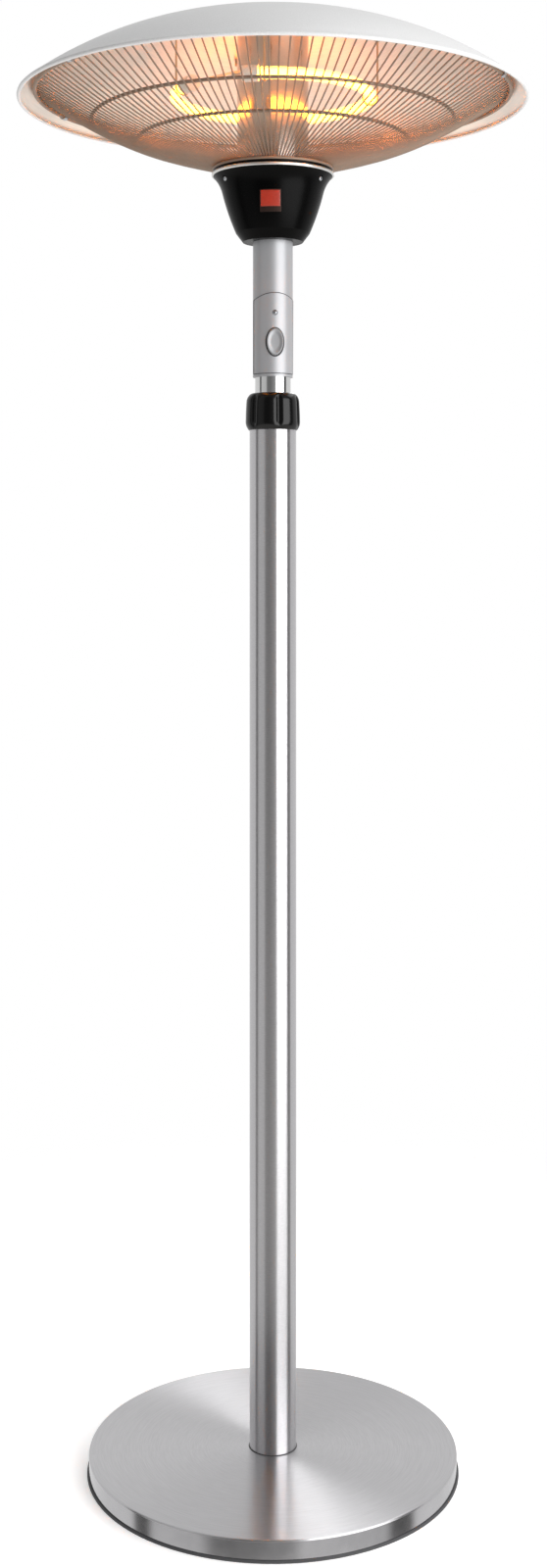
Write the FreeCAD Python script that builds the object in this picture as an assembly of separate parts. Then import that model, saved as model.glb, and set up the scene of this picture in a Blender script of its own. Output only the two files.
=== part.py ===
import FreeCAD, Part
import math
import os
from FreeCAD import Vector

# Electric patio heater on a telescopic stand, in millimetres.
# +Z is up, the origin is on the floor under the pole, and the switch faces -Y.
# Turned pieces are drawn in the radius-height plane and swung about Z.

# Clearances, per side
FIT = 0.1            # plug-in and sliding fits
CLEAR = 0.3          # pieces that move past each other
SEAT = 0.2           # a piece beside its curved seat
SCREW_PLAY = 0.2     # screw shanks in their holes

# Base
BASE_RADIUS = 216.0      # outside of the steel cover
BASE_TOP = 24.0          # top face above the floor
BASE_SHEET = 1.2
BASE_EDGE = 2.2          # rounding of the cover's top edge
FOOT_SOLE = 1.5          # rubber under the cover's skirt
FOOT_LIP = 2.2           # how far the foot ring stands out past the cover
FOOT_LIP_TOP = 2.6
FOOT_WIDTH = 18.0        # from the cover's outside inwards
BOLT_RADIUS = 6.0
BOLT_FLATS = 18.0
BOLT_HEAD = 7.5
BOLT_GROUND = 1.5        # bolt head above the floor
BOLT_TIP = 4.0           # plug left above the bolt's end
WASHER_RADIUS = 20.0
WASHER_SHEET = 2.5
WASHER_ROOM = 4.0        # pocket around the washer
PLUG_HEIGHT = 30.0

# Lower pole and its cord hole
POLE_RADIUS = 27.5
POLE_WALL = 1.5
POLE_LENGTH = 1210.0
GROMMET_HEIGHT = 70.0    # above the base
GROMMET_RADIUS = 6.0
GROMMET_BORE = 3.6
GROMMET_FLANGE = 2.6     # flange past the hole
GROMMET_SHEET = 1.8

# Clamp at the top of the lower pole
SLEEVE_WALL = 4.5
SLEEVE_DEPTH = 84.0      # inside the pole
SLEEVE_RISE = 18.0       # threaded head above the pole
COLLET_HEIGHT = 10.0
COLLET_SLIT = 2.4
COLLET_NOSE = 1.3        # wall of the collet's thin end
COLLAR_WALL = 4.7
COLLAR_HEIGHT = 43.4
COLLAR_SKIRT = 12.0      # over the lower pole
COLLAR_LOBES = 6
COLLAR_GROOVE = 3.0      # groove depth
COLLAR_GROOVE_RADIUS = 4.0
COLLAR_TAPER = 1.5       # narrower at the top by this, on the radius
COLLAR_TOP_ROUND = 5.0
COLLAR_FOOT_ROUND = 4.0
COLLAR_PHASE = 7.1       # a groove's angle from the front, degrees

# Inner pole and its guide
INNER_WALL = 1.5
INNER_GRIP = 14.5        # plugged into the switch housing
INNER_TAIL = 3.0         # below the lower circlip
LIFT = 400.0             # how far the head rises from here
STOP_GAP = 1.0           # left at the top of the lift
REST_GAP = 19.0          # bright pole seen between collar and switch housing
BUSH_LENGTH = 35.0
CIRCLIP_SHEET = 1.2
CIRCLIP_STEP = 2.0       # circlip past the pole's surface

# Switch housing
HOUSING_WALL = 2.4
HOUSING_LENGTH = 159.5
HOUSING_LIP = 3.0        # plain ring below the cover
HOUSING_SHOULDER = 3.0   # step of the spigot that enters the neck
HOUSING_DECK = 4.0       # solid end below the spigot
SPIGOT_HEIGHT = 18.0
COVER_SPLIT = 6.8        # the cover is the part in front of this plane
COVER_APEX = 97.6        # top of its arch above the housing's end
COVER_ARCH = 10.0        # rise of the arch
COVER_PROUD = 0.4
COVER_WALL = 2.4
COVER_SEAM = 0.25
COVER_SCREWS = (19.0, 90.0)   # above the housing's end
BOSS_RADIUS = 2.8
BOSS_BACK = 4.0          # the bosses' rear end, in front of the axis
SMALL_SCREW = 1.5        # shank radius
SMALL_HEAD = 2.8         # head radius
SMALL_HEAD_HEIGHT = 1.6
POLE_SCREW_HEIGHT = 7.0  # above the housing's end
BUTTON_HEIGHT = 40.0     # centre above the housing's end
BUTTON_WIDTH = 19.7
BUTTON_TALL = 31.8
BUTTON_PROUD = 1.5       # past the cover
BUTTON_EDGE = 0.7
BUTTON_TRAVEL = 2.0
BUTTON_FLANGE = 1.3      # hidden flange past the button's outline
BUTTON_FLANGE_SHEET = 1.5
LENS_HEIGHT = 74.0
LENS_RADIUS = 2.2
LENS_PROUD = 0.6
BOARD_SHEET = 1.6
BOARD_WIDTH = 35.0
BOARD_SPAN = (25.0, 84.0)     # above the housing's end
BOARD_RIB = 3.0          # depth of the ribs the board rests on
BOARD_RIB_REACH = 4.0    # how far the ribs reach under the board
SWITCH_SIDE = 9.0
SWITCH_DEPTH = 4.5
PLUNGER_RADIUS = 1.6
PLUNGER_GRIP = 1.8       # plunger inside the switch at rest
RELAY_SIZE = (18.0, 13.0, 22.0)
RELAY_BOTTOM = 56.0      # above the housing's end

# Neck
NECK_WALL = 2.5
NECK_HEIGHT = 77.5
NECK_RIM_REACH = 28.5         # rim past the centre post
NECK_FLOOR_REACH = 12.0       # floor past the switch housing
NECK_CORNER = (0.229, 10.5)   # share of the way from floor to rim, and height, where the chamfer ends
NECK_BULGE = (0.511, 36.0)    # a point of the bell curve
NECK_WAIST = (0.694, 58.0)    # where the flare begins
NECK_SCREW_DROP = 8.0    # below the neck's top
NECK_SCREW_SINK = 1.2    # head seat below the neck's face
NECK_TURN = -6.5         # the neck sits a little off the switch, degrees
NECK_SCREW_ANGLES = (NECK_TURN + 60, NECK_TURN + 180, NECK_TURN + 300)
NUT_HEIGHT = 10.0
NUT_GAP = 2.9            # between the nut's corners and the neck's floor edge
TRIM_PROUD = 1.8         # past the neck's rim
TRIM_HEIGHT = 3.5
TRIM_EDGE = 1.2
PLATE_SHEET = 3.0
PLATE_INSET = 1.3        # inside the trim ring
PLATE_HOLE = 30.0
PLATE_SKIRT = 15.0
PLATE_SKIRT_WALL = 2.0
PLATE_SKIRT_GAP = 0.8    # between the skirt's lower edge and the neck
NECK_SLANT = 1.25        # the slanted wall measured level, over its thickness
TERMINAL_SIZE = (34.0, 16.0, 14.0)
TERMINAL_GAP = 4.0       # between the block and the plate's skirt
TILT_SIZE = (14.0, 12.0, 18.0)

# Centre post
POST_RADIUS = 42.0
POST_WALL = 1.2
POST_LENGTH = 169.2
POST_SPIGOT = 7.0        # plate and cap reach this far into the post
POST_SPIGOT_WALL = 2.0
POST_SCREW_ANGLES = (90, 210, 330)
CAP_SHEET = 3.0
CAP_LIP = 4.0            # cap past the post
DISH_SCREWS = 4
DISH_SCREW_CIRCLE = 30.0
DISH_SCREW = 2.5
DISH_SCREW_HEAD = 4.6
DISH_SCREW_HEIGHT = 2.4
DISH_SCREW_LENGTH = 10.0

# Reflector dish
DISH_RADIUS = 300.0      # over the rolled rim
DISH_SHEET = 1.2
BEAD_RADIUS = 2.5
CROWN_REACH = 6.0        # flat seat at the top, past the centre post
DISH_BEND = 458.0        # radius of the dish's curve
DISH_BEND_OFFSET = 22.0  # its centre from the axis

# Grille
GRILLE_WIRES = 144
WIRE_RADIUS = 1.1
WIRE_SIDES = 6
GRILLE_INSET = 21.0      # outer ring inside the dish's rim
OUTER_RING = 2.5         # wire radius of each ring
MIDDLE_RING = 2.0
INNER_RING = 2.0
RING_SHARES = (0.70, 0.44)    # middle rings along the wires, from the inner end
BEND_SHARE = 0.57        # where the wires are bent, between the middle rings
GRILLE_SAG = 15.4        # how far the bend lies below a straight wire
INNER_RING_INSET = 1.5   # inner ring inside the plate's edge
WIRE_TAIL = 1.0          # wire past the rings at both ends
CLIPS = 6
CLIP_SHEET = 1.2
CLIP_WIDTH = 7.0
CLIP_TAB = 14.0          # tab along the dish

# Heating element
ELEMENT_RADIUS = 115.0
ELEMENT_DROP = 85.0      # below the dish's flat
ELEMENT_TURN = -41.0     # gap's angle from the front, degrees
ELEMENT_GAP = 47.0       # opening of the ring, degrees
GLASS_RADIUS = 7.0
GLASS_WALL = 1.2
FILAMENT_RADIUS = 2.6
END_CAP_RADIUS = 9.5
END_CAP_GRIP = 3.0       # over the glass, degrees
END_CAP_REACH = 6.0      # past the glass, degrees
HOOK_RADIUS = 1.2
HOOK_ANGLES = (30, 125, 235, 330)     # from the gap's middle
HOOK_TIP = 5.0
FERRULE_RADIUS = 4.0
FERRULE_HEIGHT = 6.0
LEAD_RADIUS = 1.5
LEAD_BEND = 5.0
LEAD_HOLE = 2.6
LEAD_START = 14.0        # straight run out of the cap
LEAD_RISE = 22.0         # post holes above the glass ring
LEAD_SAG = 4.0           # low point before the post
LEAD_SPAN = 22.0         # low point in front of the post
LEAD_STUB = 5.0          # straight run into the post
LEAD_STANDOFF = 8.0      # drop in front of the terminal block
LEAD_ANGLES = (8.0, 7.0, 10.0)    # low point, post hole and drop, from the gap's middle

# Heights up the stand, from the floor
POLE_TOP = BASE_TOP + POLE_LENGTH
SLEEVE_BOTTOM = POLE_TOP - SLEEVE_DEPTH
SLEEVE_TOP = POLE_TOP + SLEEVE_RISE
COLLAR_BOTTOM = POLE_TOP - COLLAR_SKIRT
COLLAR_TOP = COLLAR_BOTTOM + COLLAR_HEIGHT
BUSH_TOP = SLEEVE_BOTTOM - LIFT - STOP_GAP - CIRCLIP_SHEET - CLEAR
BUSH_BOTTOM = BUSH_TOP - BUSH_LENGTH
INNER_BOTTOM = BUSH_BOTTOM - CLEAR - CIRCLIP_SHEET - INNER_TAIL
HOUSING_BOTTOM = COLLAR_TOP + REST_GAP
HOUSING_TOP = HOUSING_BOTTOM + HOUSING_LENGTH
INNER_TOP = HOUSING_BOTTOM + INNER_GRIP
NECK_TOP = HOUSING_TOP + NECK_HEIGHT
TRIM_TOP = NECK_TOP + TRIM_HEIGHT
PLATE_TOP = TRIM_TOP + PLATE_SHEET
POST_TOP = PLATE_TOP + POST_LENGTH
DISH_UNDER = POST_TOP + CAP_SHEET
DISH_TOP = DISH_UNDER + DISH_SHEET
ELEMENT_Z = DISH_UNDER - ELEMENT_DROP

# Radii that follow from the fits
POLE_BORE = POLE_RADIUS - POLE_WALL
SLEEVE_OUTSIDE = POLE_BORE - SEAT
SLEEVE_BORE = SLEEVE_OUTSIDE - SLEEVE_WALL
INNER_RADIUS = SLEEVE_BORE - CLEAR
COLLAR_RADIUS = POLE_RADIUS + CLEAR + COLLAR_WALL
HOUSING_BORE = INNER_RADIUS + FIT
HOUSING_RADIUS = HOUSING_BORE + HOUSING_WALL
SPIGOT_RADIUS = HOUSING_RADIUS - HOUSING_SHOULDER
SPIGOT_BORE = SPIGOT_RADIUS - HOUSING_WALL
COVER_RADIUS = HOUSING_RADIUS + COVER_PROUD
COVER_BORE = COVER_RADIUS - COVER_WALL
BOARD_FACE = COVER_SPLIT - SEAT + BOARD_SHEET    # its back rests just behind the cover's edge
NECK_FLOOR_RADIUS = HOUSING_RADIUS + NECK_FLOOR_REACH
NECK_TOP_RADIUS = POST_RADIUS + NECK_RIM_REACH
CROWN_FLAT = POST_RADIUS + CROWN_REACH
TRIM_RADIUS = NECK_TOP_RADIUS + TRIM_PROUD
PLATE_RADIUS = TRIM_RADIUS - PLATE_INSET
POST_BORE = POST_RADIUS - POST_WALL
SPIGOT_OUTSIDE = POST_BORE - SEAT
GRILLE_RADIUS = DISH_RADIUS - GRILLE_INSET
INNER_RING_RADIUS = PLATE_RADIUS - INNER_RING_INSET

UP = Vector(0, 0, 1)
BACK = Vector(0, 1, 0)
ORIGIN = Vector(0, 0, 0)


# Drawing helpers

def point(radius, height):
    """Point of the radius-height plane."""
    return Vector(radius, 0, height)


def polar(radius, angle, height):
    """Point at an angle from the front, turning to the right."""
    turn = math.radians(angle)
    return Vector(radius * math.sin(turn), -radius * math.cos(turn), height)


def swing(edges, angle=360):
    """Solid swung about Z from a closed loop of edges."""
    return Part.Face(Part.Wire(edges)).revolve(ORIGIN, UP, angle)


def turned(corners, angle=360):
    """Solid swung about Z from the corners of its half section."""
    points = [point(radius, height) for radius, height in corners]
    return swing(Part.makePolygon(points + points[:1]).Edges, angle)


def tube(outside, inside, bottom, top):
    """Round tube about Z."""
    return turned([(inside, bottom), (outside, bottom), (outside, top), (inside, top)])


def rod(radius, start, end):
    """Round bar between two points."""
    return Part.makeCylinder(radius, (end - start).Length, start, end - start)


def block(size, middle_bottom):
    """Box standing on the middle of its underside."""
    width, depth, height = size
    corner = middle_bottom - Vector(width / 2, depth / 2, 0)
    return Part.makeBox(width, depth, height, corner)


def hexagon(flats, bottom, height):
    """Six-sided prism about Z, flats apart."""
    corner = flats / math.sqrt(3)
    corners = [Vector(corner, 0, bottom)]
    for turn in range(1, 6):
        corners.append(polar(corner, 90 + 60 * turn, bottom))
    return Part.Face(Part.makePolygon(corners + corners[:1])).extrude(UP * height)


def spun(shape, angle):
    """Copy of a shape turned about Z."""
    return shape.rotated(ORIGIN, UP, angle)


def group(shape, angles):
    """Copies of a shape about Z, kept as separate solids."""
    return Part.makeCompound([spun(shape, angle) for angle in angles])


def even(count):
    """Angles that share out a full turn."""
    return [360.0 * index / count for index in range(count)]


def arc_about(centre, start, end):
    """Shorter arc between two points about a centre."""
    middle = (start - centre) + (end - centre)
    middle.normalize()
    return Part.Arc(start, centre + middle * (start - centre).Length, end).toShape()


def tangent_centre(start, heading, end):
    """Centre of the arc that leaves start along heading and reaches end."""
    normal = Vector(-heading.z, 0, heading.x)
    chord = end - start
    return start + normal * (chord.dot(chord) / (2 * chord.dot(normal)))


def round_path(points, bend):
    """Wire through points, with its corners rounded."""
    edges = []
    last = points[0]
    for before, corner, after in zip(points, points[1:], points[2:]):
        back = (before - corner).normalize()
        on = (after - corner).normalize()
        half = back.getAngle(on) / 2
        cut = bend / math.tan(half)
        middle = (back + on).normalize()
        centre = corner + middle * (bend / math.sin(half))
        edges.append(Part.makeLine(last, corner + back * cut))
        edges.append(Part.Arc(corner + back * cut, centre - middle * bend, corner + on * cut).toShape())
        last = corner + on * cut
    edges.append(Part.makeLine(last, points[-1]))
    return Part.Wire(edges)


def piped(path, radius):
    """Round bar along a path."""
    start = path.Edges[0].valueAt(path.Edges[0].FirstParameter)
    heading = path.Edges[0].tangentAt(path.Edges[0].FirstParameter)
    return path.makePipeShell([Part.Wire(Part.makeCircle(radius, start, heading))], True, False)


def small_screw(seat, inward, length):
    """Pan-head screw whose head sits at a seat."""
    head = rod(SMALL_HEAD, seat, seat - inward * SMALL_HEAD_HEIGHT)
    return head.fuse(rod(SMALL_SCREW, seat, seat + inward * length)).removeSplitter()


# Base and lower pole

def base_cover():
    """Spun steel disc with a rounded edge and a skirt."""
    outside = round_path([point(BOLT_RADIUS + SCREW_PLAY, BASE_TOP), point(BASE_RADIUS, BASE_TOP),
                          point(BASE_RADIUS, FOOT_SOLE)], BASE_EDGE)
    inside = round_path([point(BASE_RADIUS - BASE_SHEET, FOOT_SOLE),
                         point(BASE_RADIUS - BASE_SHEET, BASE_TOP - BASE_SHEET),
                         point(BOLT_RADIUS + SCREW_PLAY, BASE_TOP - BASE_SHEET)], BASE_EDGE - BASE_SHEET)
    ends = [Part.makeLine(outside.OrderedVertexes[-1].Point, inside.OrderedVertexes[0].Point),
            Part.makeLine(inside.OrderedVertexes[-1].Point, outside.OrderedVertexes[0].Point)]
    return swing(outside.OrderedEdges + ends[:1] + inside.OrderedEdges + ends[1:])


def base_weight():
    """Cast ballast disc under the cover, with a pocket for the bolt head."""
    edge = BASE_RADIUS - BASE_SHEET - CLEAR
    shoulder = BASE_EDGE
    top = BASE_TOP - BASE_SHEET
    pocket = BOLT_GROUND + BOLT_HEAD + WASHER_SHEET
    pocket_radius = WASHER_RADIUS + WASHER_ROOM
    bore = BOLT_RADIUS + SCREW_PLAY
    return turned([(pocket_radius, FOOT_SOLE), (edge, FOOT_SOLE), (edge, top - shoulder),
                   (edge - shoulder, top), (bore, top), (bore, pocket), (pocket_radius, pocket)])


def foot_ring():
    """Rubber edging under the cover's skirt and the weight's edge."""
    inner = BASE_RADIUS - FOOT_WIDTH
    lip = BASE_RADIUS + FOOT_LIP
    groove = BASE_RADIUS + SEAT
    slope = FOOT_LIP / 2
    return turned([(inner, 0), (lip, 0), (lip, FOOT_LIP_TOP - slope), (lip - slope, FOOT_LIP_TOP),
                   (groove, FOOT_LIP_TOP), (groove, FOOT_SOLE), (inner, FOOT_SOLE)])


def base_bolt():
    """Hexagon bolt that draws the pole down on the base."""
    head = hexagon(BOLT_FLATS, BOLT_GROUND, BOLT_HEAD)
    tip = BASE_TOP + PLUG_HEIGHT - BOLT_TIP
    shank = rod(BOLT_RADIUS, Vector(0, 0, BOLT_GROUND + BOLT_HEAD), Vector(0, 0, tip))
    return head.fuse(shank).removeSplitter()


def base_washer():
    """Wide washer between the bolt head and the weight."""
    bottom = BOLT_GROUND + BOLT_HEAD
    return tube(WASHER_RADIUS, BOLT_RADIUS + SCREW_PLAY, bottom, bottom + WASHER_SHEET)


def pole_plug():
    """Tapped plug in the foot of the pole."""
    return tube(POLE_BORE - FIT, BOLT_RADIUS + FIT, BASE_TOP, BASE_TOP + PLUG_HEIGHT)


def lower_pole():
    """Outer tube with the cord hole at its back."""
    pole = tube(POLE_RADIUS, POLE_BORE, BASE_TOP, POLE_TOP)
    height = BASE_TOP + GROMMET_HEIGHT
    hole = rod(GROMMET_RADIUS, Vector(0, 0, height), Vector(0, 2 * POLE_RADIUS, height))
    return pole.cut(hole)


def cable_grommet():
    """Flanged rubber bush in the cord hole, turned about its own axis."""
    reach = POLE_RADIUS + GROMMET_SHEET
    neck = GROMMET_RADIUS - FIT
    flange = GROMMET_RADIUS + GROMMET_FLANGE
    outer = POLE_RADIUS + FIT
    inner = POLE_BORE - GROMMET_SHEET
    section = [(GROMMET_BORE, inner), (neck, inner), (neck, outer), (flange, outer),
               (flange - GROMMET_SHEET / 2, reach), (GROMMET_BORE, reach)]
    bush = turned(section)
    bush = bush.rotated(ORIGIN, Vector(1, 0, 0), -90)
    return bush.translated(Vector(0, 0, BASE_TOP + GROMMET_HEIGHT))


# Clamp

def clamp_sleeve():
    """Plastic insert that guides the inner pole and carries the collar's thread."""
    return turned([(SLEEVE_BORE, SLEEVE_BOTTOM), (SLEEVE_OUTSIDE, SLEEVE_BOTTOM), (SLEEVE_OUTSIDE, POLE_TOP),
                   (POLE_RADIUS - CLEAR, POLE_TOP), (POLE_RADIUS - CLEAR, SLEEVE_TOP),
                   (SLEEVE_BORE, SLEEVE_TOP)])


def clamp_collet():
    """Split taper ring that the collar squeezes on the inner pole."""
    bore = INNER_RADIUS + FIT
    ring = turned([(bore, SLEEVE_TOP), (POLE_RADIUS - CLEAR - COLLET_NOSE, SLEEVE_TOP),
                   (bore + COLLET_NOSE, SLEEVE_TOP + COLLET_HEIGHT), (bore, SLEEVE_TOP + COLLET_HEIGHT)])
    slit = block((COLLET_SLIT, POLE_RADIUS, 2 * COLLET_HEIGHT),
                 Vector(0, POLE_RADIUS / 2 + bore / 2, SLEEVE_TOP - COLLET_HEIGHT / 2))
    return ring.cut(slit)


def lobed_outline(height):
    """Collar's outline: lobes and grooves as arcs that meet smoothly."""
    step = 180.0 / COLLAR_LOBES
    groove_centre = COLLAR_RADIUS - COLLAR_GROOVE + COLLAR_GROOVE_RADIUS
    reach = COLLAR_RADIUS + COLLAR_GROOVE_RADIUS
    cosine = math.cos(math.radians(step))
    lobe_centre = (reach ** 2 - groove_centre ** 2) / (2 * (reach - groove_centre * cosine))
    lobe_radius = COLLAR_RADIUS - lobe_centre
    edges = []
    for groove in even(COLLAR_LOBES):
        angle = groove + COLLAR_PHASE
        dip = polar(groove_centre, angle, height)
        meets = []
        for side in (-step, step):
            lobe = polar(lobe_centre, angle + side, height)
            meets.append(lobe + (dip - lobe).normalize() * lobe_radius)
        following = polar(groove_centre, angle + 2 * step, height)
        lobe = polar(lobe_centre, angle + step, height)
        onward = lobe + (following - lobe).normalize() * lobe_radius
        bottom = polar(groove_centre - COLLAR_GROOVE_RADIUS, angle, height)
        tip = polar(COLLAR_RADIUS, angle + step, height)
        edges.append(Part.Arc(meets[0], bottom, meets[1]).toShape())
        edges.append(Part.Arc(meets[1], tip, onward).toShape())
    return Part.Face(Part.Wire(edges))


def lock_collar():
    """Twist collar: lobed body with rounded ends, bored to pass both poles."""
    lobes = lobed_outline(COLLAR_BOTTOM).extrude(UP * COLLAR_HEIGHT)
    barrel = Part.makeCone(COLLAR_RADIUS, COLLAR_RADIUS - COLLAR_TAPER, COLLAR_HEIGHT, UP * COLLAR_BOTTOM)
    top_rim = [edge for edge in barrel.Edges if edge.BoundBox.ZMin > COLLAR_TOP - FIT]
    barrel = barrel.makeFillet(COLLAR_TOP_ROUND, top_rim)
    foot_rim = [edge for edge in barrel.Edges if edge.BoundBox.ZMax < COLLAR_BOTTOM + FIT]
    barrel = barrel.makeFillet(COLLAR_FOOT_ROUND, foot_rim)
    over_pole = POLE_RADIUS + CLEAR
    taper_top = SLEEVE_TOP + COLLET_HEIGHT + CLEAR
    mouth = INNER_RADIUS + CLEAR
    nose = INNER_RADIUS + FIT + COLLET_NOSE + CLEAR
    bore = turned([(0, COLLAR_BOTTOM - CLEAR), (over_pole, COLLAR_BOTTOM - CLEAR), (over_pole, SLEEVE_TOP),
                   (POLE_RADIUS - COLLET_NOSE, SLEEVE_TOP), (nose, taper_top), (mouth, taper_top),
                   (mouth, COLLAR_TOP + CLEAR), (0, COLLAR_TOP + CLEAR)])
    return lobes.common(barrel).cut(bore)


# Inner pole and its guide

def inner_pole():
    """Bright sliding tube."""
    pole = tube(INNER_RADIUS, INNER_RADIUS - INNER_WALL, INNER_BOTTOM, INNER_TOP)
    height = HOUSING_BOTTOM + POLE_SCREW_HEIGHT
    return pole.cut(rod(SMALL_SCREW + SCREW_PLAY, Vector(0, 0, height), Vector(0, 2 * INNER_RADIUS, height)))


def guide_bush():
    """Plastic ring on the foot of the inner pole, with relief grooves."""
    bore = INNER_RADIUS + FIT
    outside = POLE_BORE - CLEAR
    relief = outside - CIRCLIP_STEP / 2
    land = BUSH_LENGTH / 4
    return turned([(bore, BUSH_BOTTOM), (outside, BUSH_BOTTOM), (outside, BUSH_BOTTOM + land),
                   (relief, BUSH_BOTTOM + land), (relief, BUSH_TOP - land), (outside, BUSH_TOP - land),
                   (outside, BUSH_TOP), (bore, BUSH_TOP)])


def bush_circlips():
    """Two rings that keep the bush on the inner pole."""
    outside = INNER_RADIUS + CIRCLIP_STEP
    upper = BUSH_TOP + CLEAR
    lower = BUSH_BOTTOM - CLEAR - CIRCLIP_SHEET
    rings = [tube(outside, INNER_RADIUS, bottom, bottom + CIRCLIP_SHEET) for bottom in (lower, upper)]
    return Part.makeCompound(rings)


# Switch housing

def arch_block(radius, bottom, apex, back):
    """Block in front of a plane, with an arched top, as wide as the housing."""
    side = apex - COVER_ARCH
    wide = radius + HOUSING_WALL
    left = Vector(-wide, 0, side)
    right = Vector(wide, 0, side)
    top = Part.Arc(right, Vector(0, 0, apex), left).toShape()
    corners = [left, Vector(-wide, 0, bottom), Vector(wide, 0, bottom), right]
    outline = Part.Face(Part.Wire(Part.makePolygon(corners).Edges + [top]))
    return outline.translated(BACK * (-back)).extrude(BACK * (-wide))


def board_back():
    return -BOARD_FACE + BOARD_SHEET


def switch_housing():
    """Grey tube with the cover's opening, board ribs and a spigot for the neck."""
    deck = HOUSING_TOP - HOUSING_DECK
    shell = turned([(HOUSING_BORE, HOUSING_BOTTOM), (HOUSING_RADIUS, HOUSING_BOTTOM),
                    (HOUSING_RADIUS, HOUSING_TOP),
                    (SPIGOT_RADIUS, HOUSING_TOP), (SPIGOT_RADIUS, HOUSING_TOP + SPIGOT_HEIGHT),
                    (SPIGOT_BORE, HOUSING_TOP + SPIGOT_HEIGHT), (SPIGOT_BORE, deck), (HOUSING_BORE, deck)])
    apex = HOUSING_BOTTOM + COVER_APEX
    shell = shell.cut(arch_block(HOUSING_RADIUS, HOUSING_BOTTOM + HOUSING_LIP, apex, COVER_SPLIT))
    inner_core = rod(HOUSING_BORE + HOUSING_WALL / 2, Vector(0, 0, HOUSING_BOTTOM), Vector(0, 0, HOUSING_TOP))
    low, high = BOARD_SPAN
    for side in (-1, 1):
        reach = HOUSING_RADIUS - BOARD_WIDTH / 2 + BOARD_RIB_REACH
        middle = side * (HOUSING_RADIUS - reach / 2)
        rib = block((reach, BOARD_RIB, high - low),
                    Vector(middle, board_back() + BOARD_RIB / 2, HOUSING_BOTTOM + low))
        shell = shell.fuse(rib.common(inner_core))
    for height in COVER_SCREWS:
        seat = Vector(0, HOUSING_RADIUS - SMALL_HEAD_HEIGHT, HOUSING_BOTTOM + height)
        shell = shell.cut(rod(SMALL_HEAD + SCREW_PLAY, seat, seat + BACK * HOUSING_RADIUS))
        shell = shell.cut(rod(SMALL_SCREW + SCREW_PLAY, seat - BACK * HOUSING_WALL, seat))
    level = Vector(0, 0, HOUSING_BOTTOM + POLE_SCREW_HEIGHT)
    hole = rod(SMALL_SCREW + SCREW_PLAY, level, level + BACK * (2 * HOUSING_RADIUS))
    return shell.cut(hole).removeSplitter()


def pole_screw():
    """Screw that holds the inner pole in the housing, at the back."""
    seat = Vector(0, HOUSING_RADIUS, HOUSING_BOTTOM + POLE_SCREW_HEIGHT)
    return small_screw(seat, -BACK, HOUSING_WALL + FIT + 2 * INNER_WALL)


def oval(width, height, front, depth):
    """Upright oval bar, drawn in front of the axis and running back."""
    centre = Vector(0, -front, HOUSING_BOTTOM + BUTTON_HEIGHT)
    curve = Part.Ellipse(centre + UP * (height / 2), centre + Vector(width / 2, 0, 0), centre)
    return Part.Face(Part.Wire(curve.toShape())).extrude(BACK * depth)


def switch_cover():
    """Arched front cover with holes for the button and the lens, and two bosses."""
    bottom = HOUSING_BOTTOM + HOUSING_LIP + COVER_SEAM
    apex = HOUSING_BOTTOM + COVER_APEX - COVER_SEAM
    front = arch_block(COVER_RADIUS, bottom, apex, COVER_SPLIT + COVER_SEAM)
    shell = tube(COVER_RADIUS, COVER_BORE, HOUSING_BOTTOM, HOUSING_TOP).common(front)
    for height in COVER_SCREWS:
        level = Vector(0, 0, HOUSING_BOTTOM + height)
        boss = rod(BOSS_RADIUS, level - BACK * BOSS_BACK, level - BACK * (COVER_BORE + COVER_WALL / 2))
        shell = shell.fuse(boss)
        pilot = level - BACK * (COVER_BORE - HOUSING_WALL)
        shell = shell.cut(rod(SMALL_SCREW + FIT, level, pilot))
    gap = 2 * CLEAR
    opening = oval(BUTTON_WIDTH + gap, BUTTON_TALL + gap, 2 * COVER_RADIUS, 2 * COVER_RADIUS - COVER_SPLIT)
    shell = shell.cut(opening)
    lens = Vector(0, 0, HOUSING_BOTTOM + LENS_HEIGHT)
    shell = shell.cut(rod(LENS_RADIUS + FIT, lens, lens - BACK * (2 * COVER_RADIUS)))
    return shell.removeSplitter()


def cover_screws():
    """Two screws from the back of the housing into the cover's bosses."""
    seat_depth = HOUSING_RADIUS - SMALL_HEAD_HEIGHT
    length = seat_depth + COVER_BORE - HOUSING_WALL - 2 * SMALL_SCREW
    screws = []
    for height in COVER_SCREWS:
        screws.append(small_screw(Vector(0, seat_depth, HOUSING_BOTTOM + height), -BACK, length))
    return Part.makeCompound(screws)


def button_back():
    """Depth of the button's rear face in front of the axis."""
    half = BUTTON_WIDTH / 2 + BUTTON_FLANGE
    return math.sqrt(COVER_BORE ** 2 - half ** 2) - CLEAR - BUTTON_FLANGE_SHEET


def power_button():
    """Oval push button with a crowned face and a hidden flange."""
    front = COVER_RADIUS + BUTTON_PROUD
    back = button_back()
    cap = oval(BUTTON_WIDTH, BUTTON_TALL, 2 * front, 2 * front - back)
    crown = rod(front, Vector(0, 0, HOUSING_BOTTOM), Vector(0, 0, HOUSING_TOP))
    cap = cap.common(crown)
    face_edges = [edge for edge in cap.Edges if edge.BoundBox.YMin < -COVER_RADIUS]
    cap = cap.makeFillet(BUTTON_EDGE, face_edges)
    flange = oval(BUTTON_WIDTH + 2 * BUTTON_FLANGE, BUTTON_TALL + 2 * BUTTON_FLANGE,
                  back + BUTTON_FLANGE_SHEET, BUTTON_FLANGE_SHEET)
    return cap.fuse(flange).removeSplitter()


def switch_front():
    """Depth of the push switch's face in front of the axis."""
    return BOARD_FACE + SWITCH_DEPTH


def switch_plunger():
    """Plunger of the push switch, pressed by the button."""
    level = Vector(0, 0, HOUSING_BOTTOM + BUTTON_HEIGHT)
    return rod(PLUNGER_RADIUS, level - BACK * button_back(), level - BACK * (switch_front() - PLUNGER_GRIP))


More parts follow.
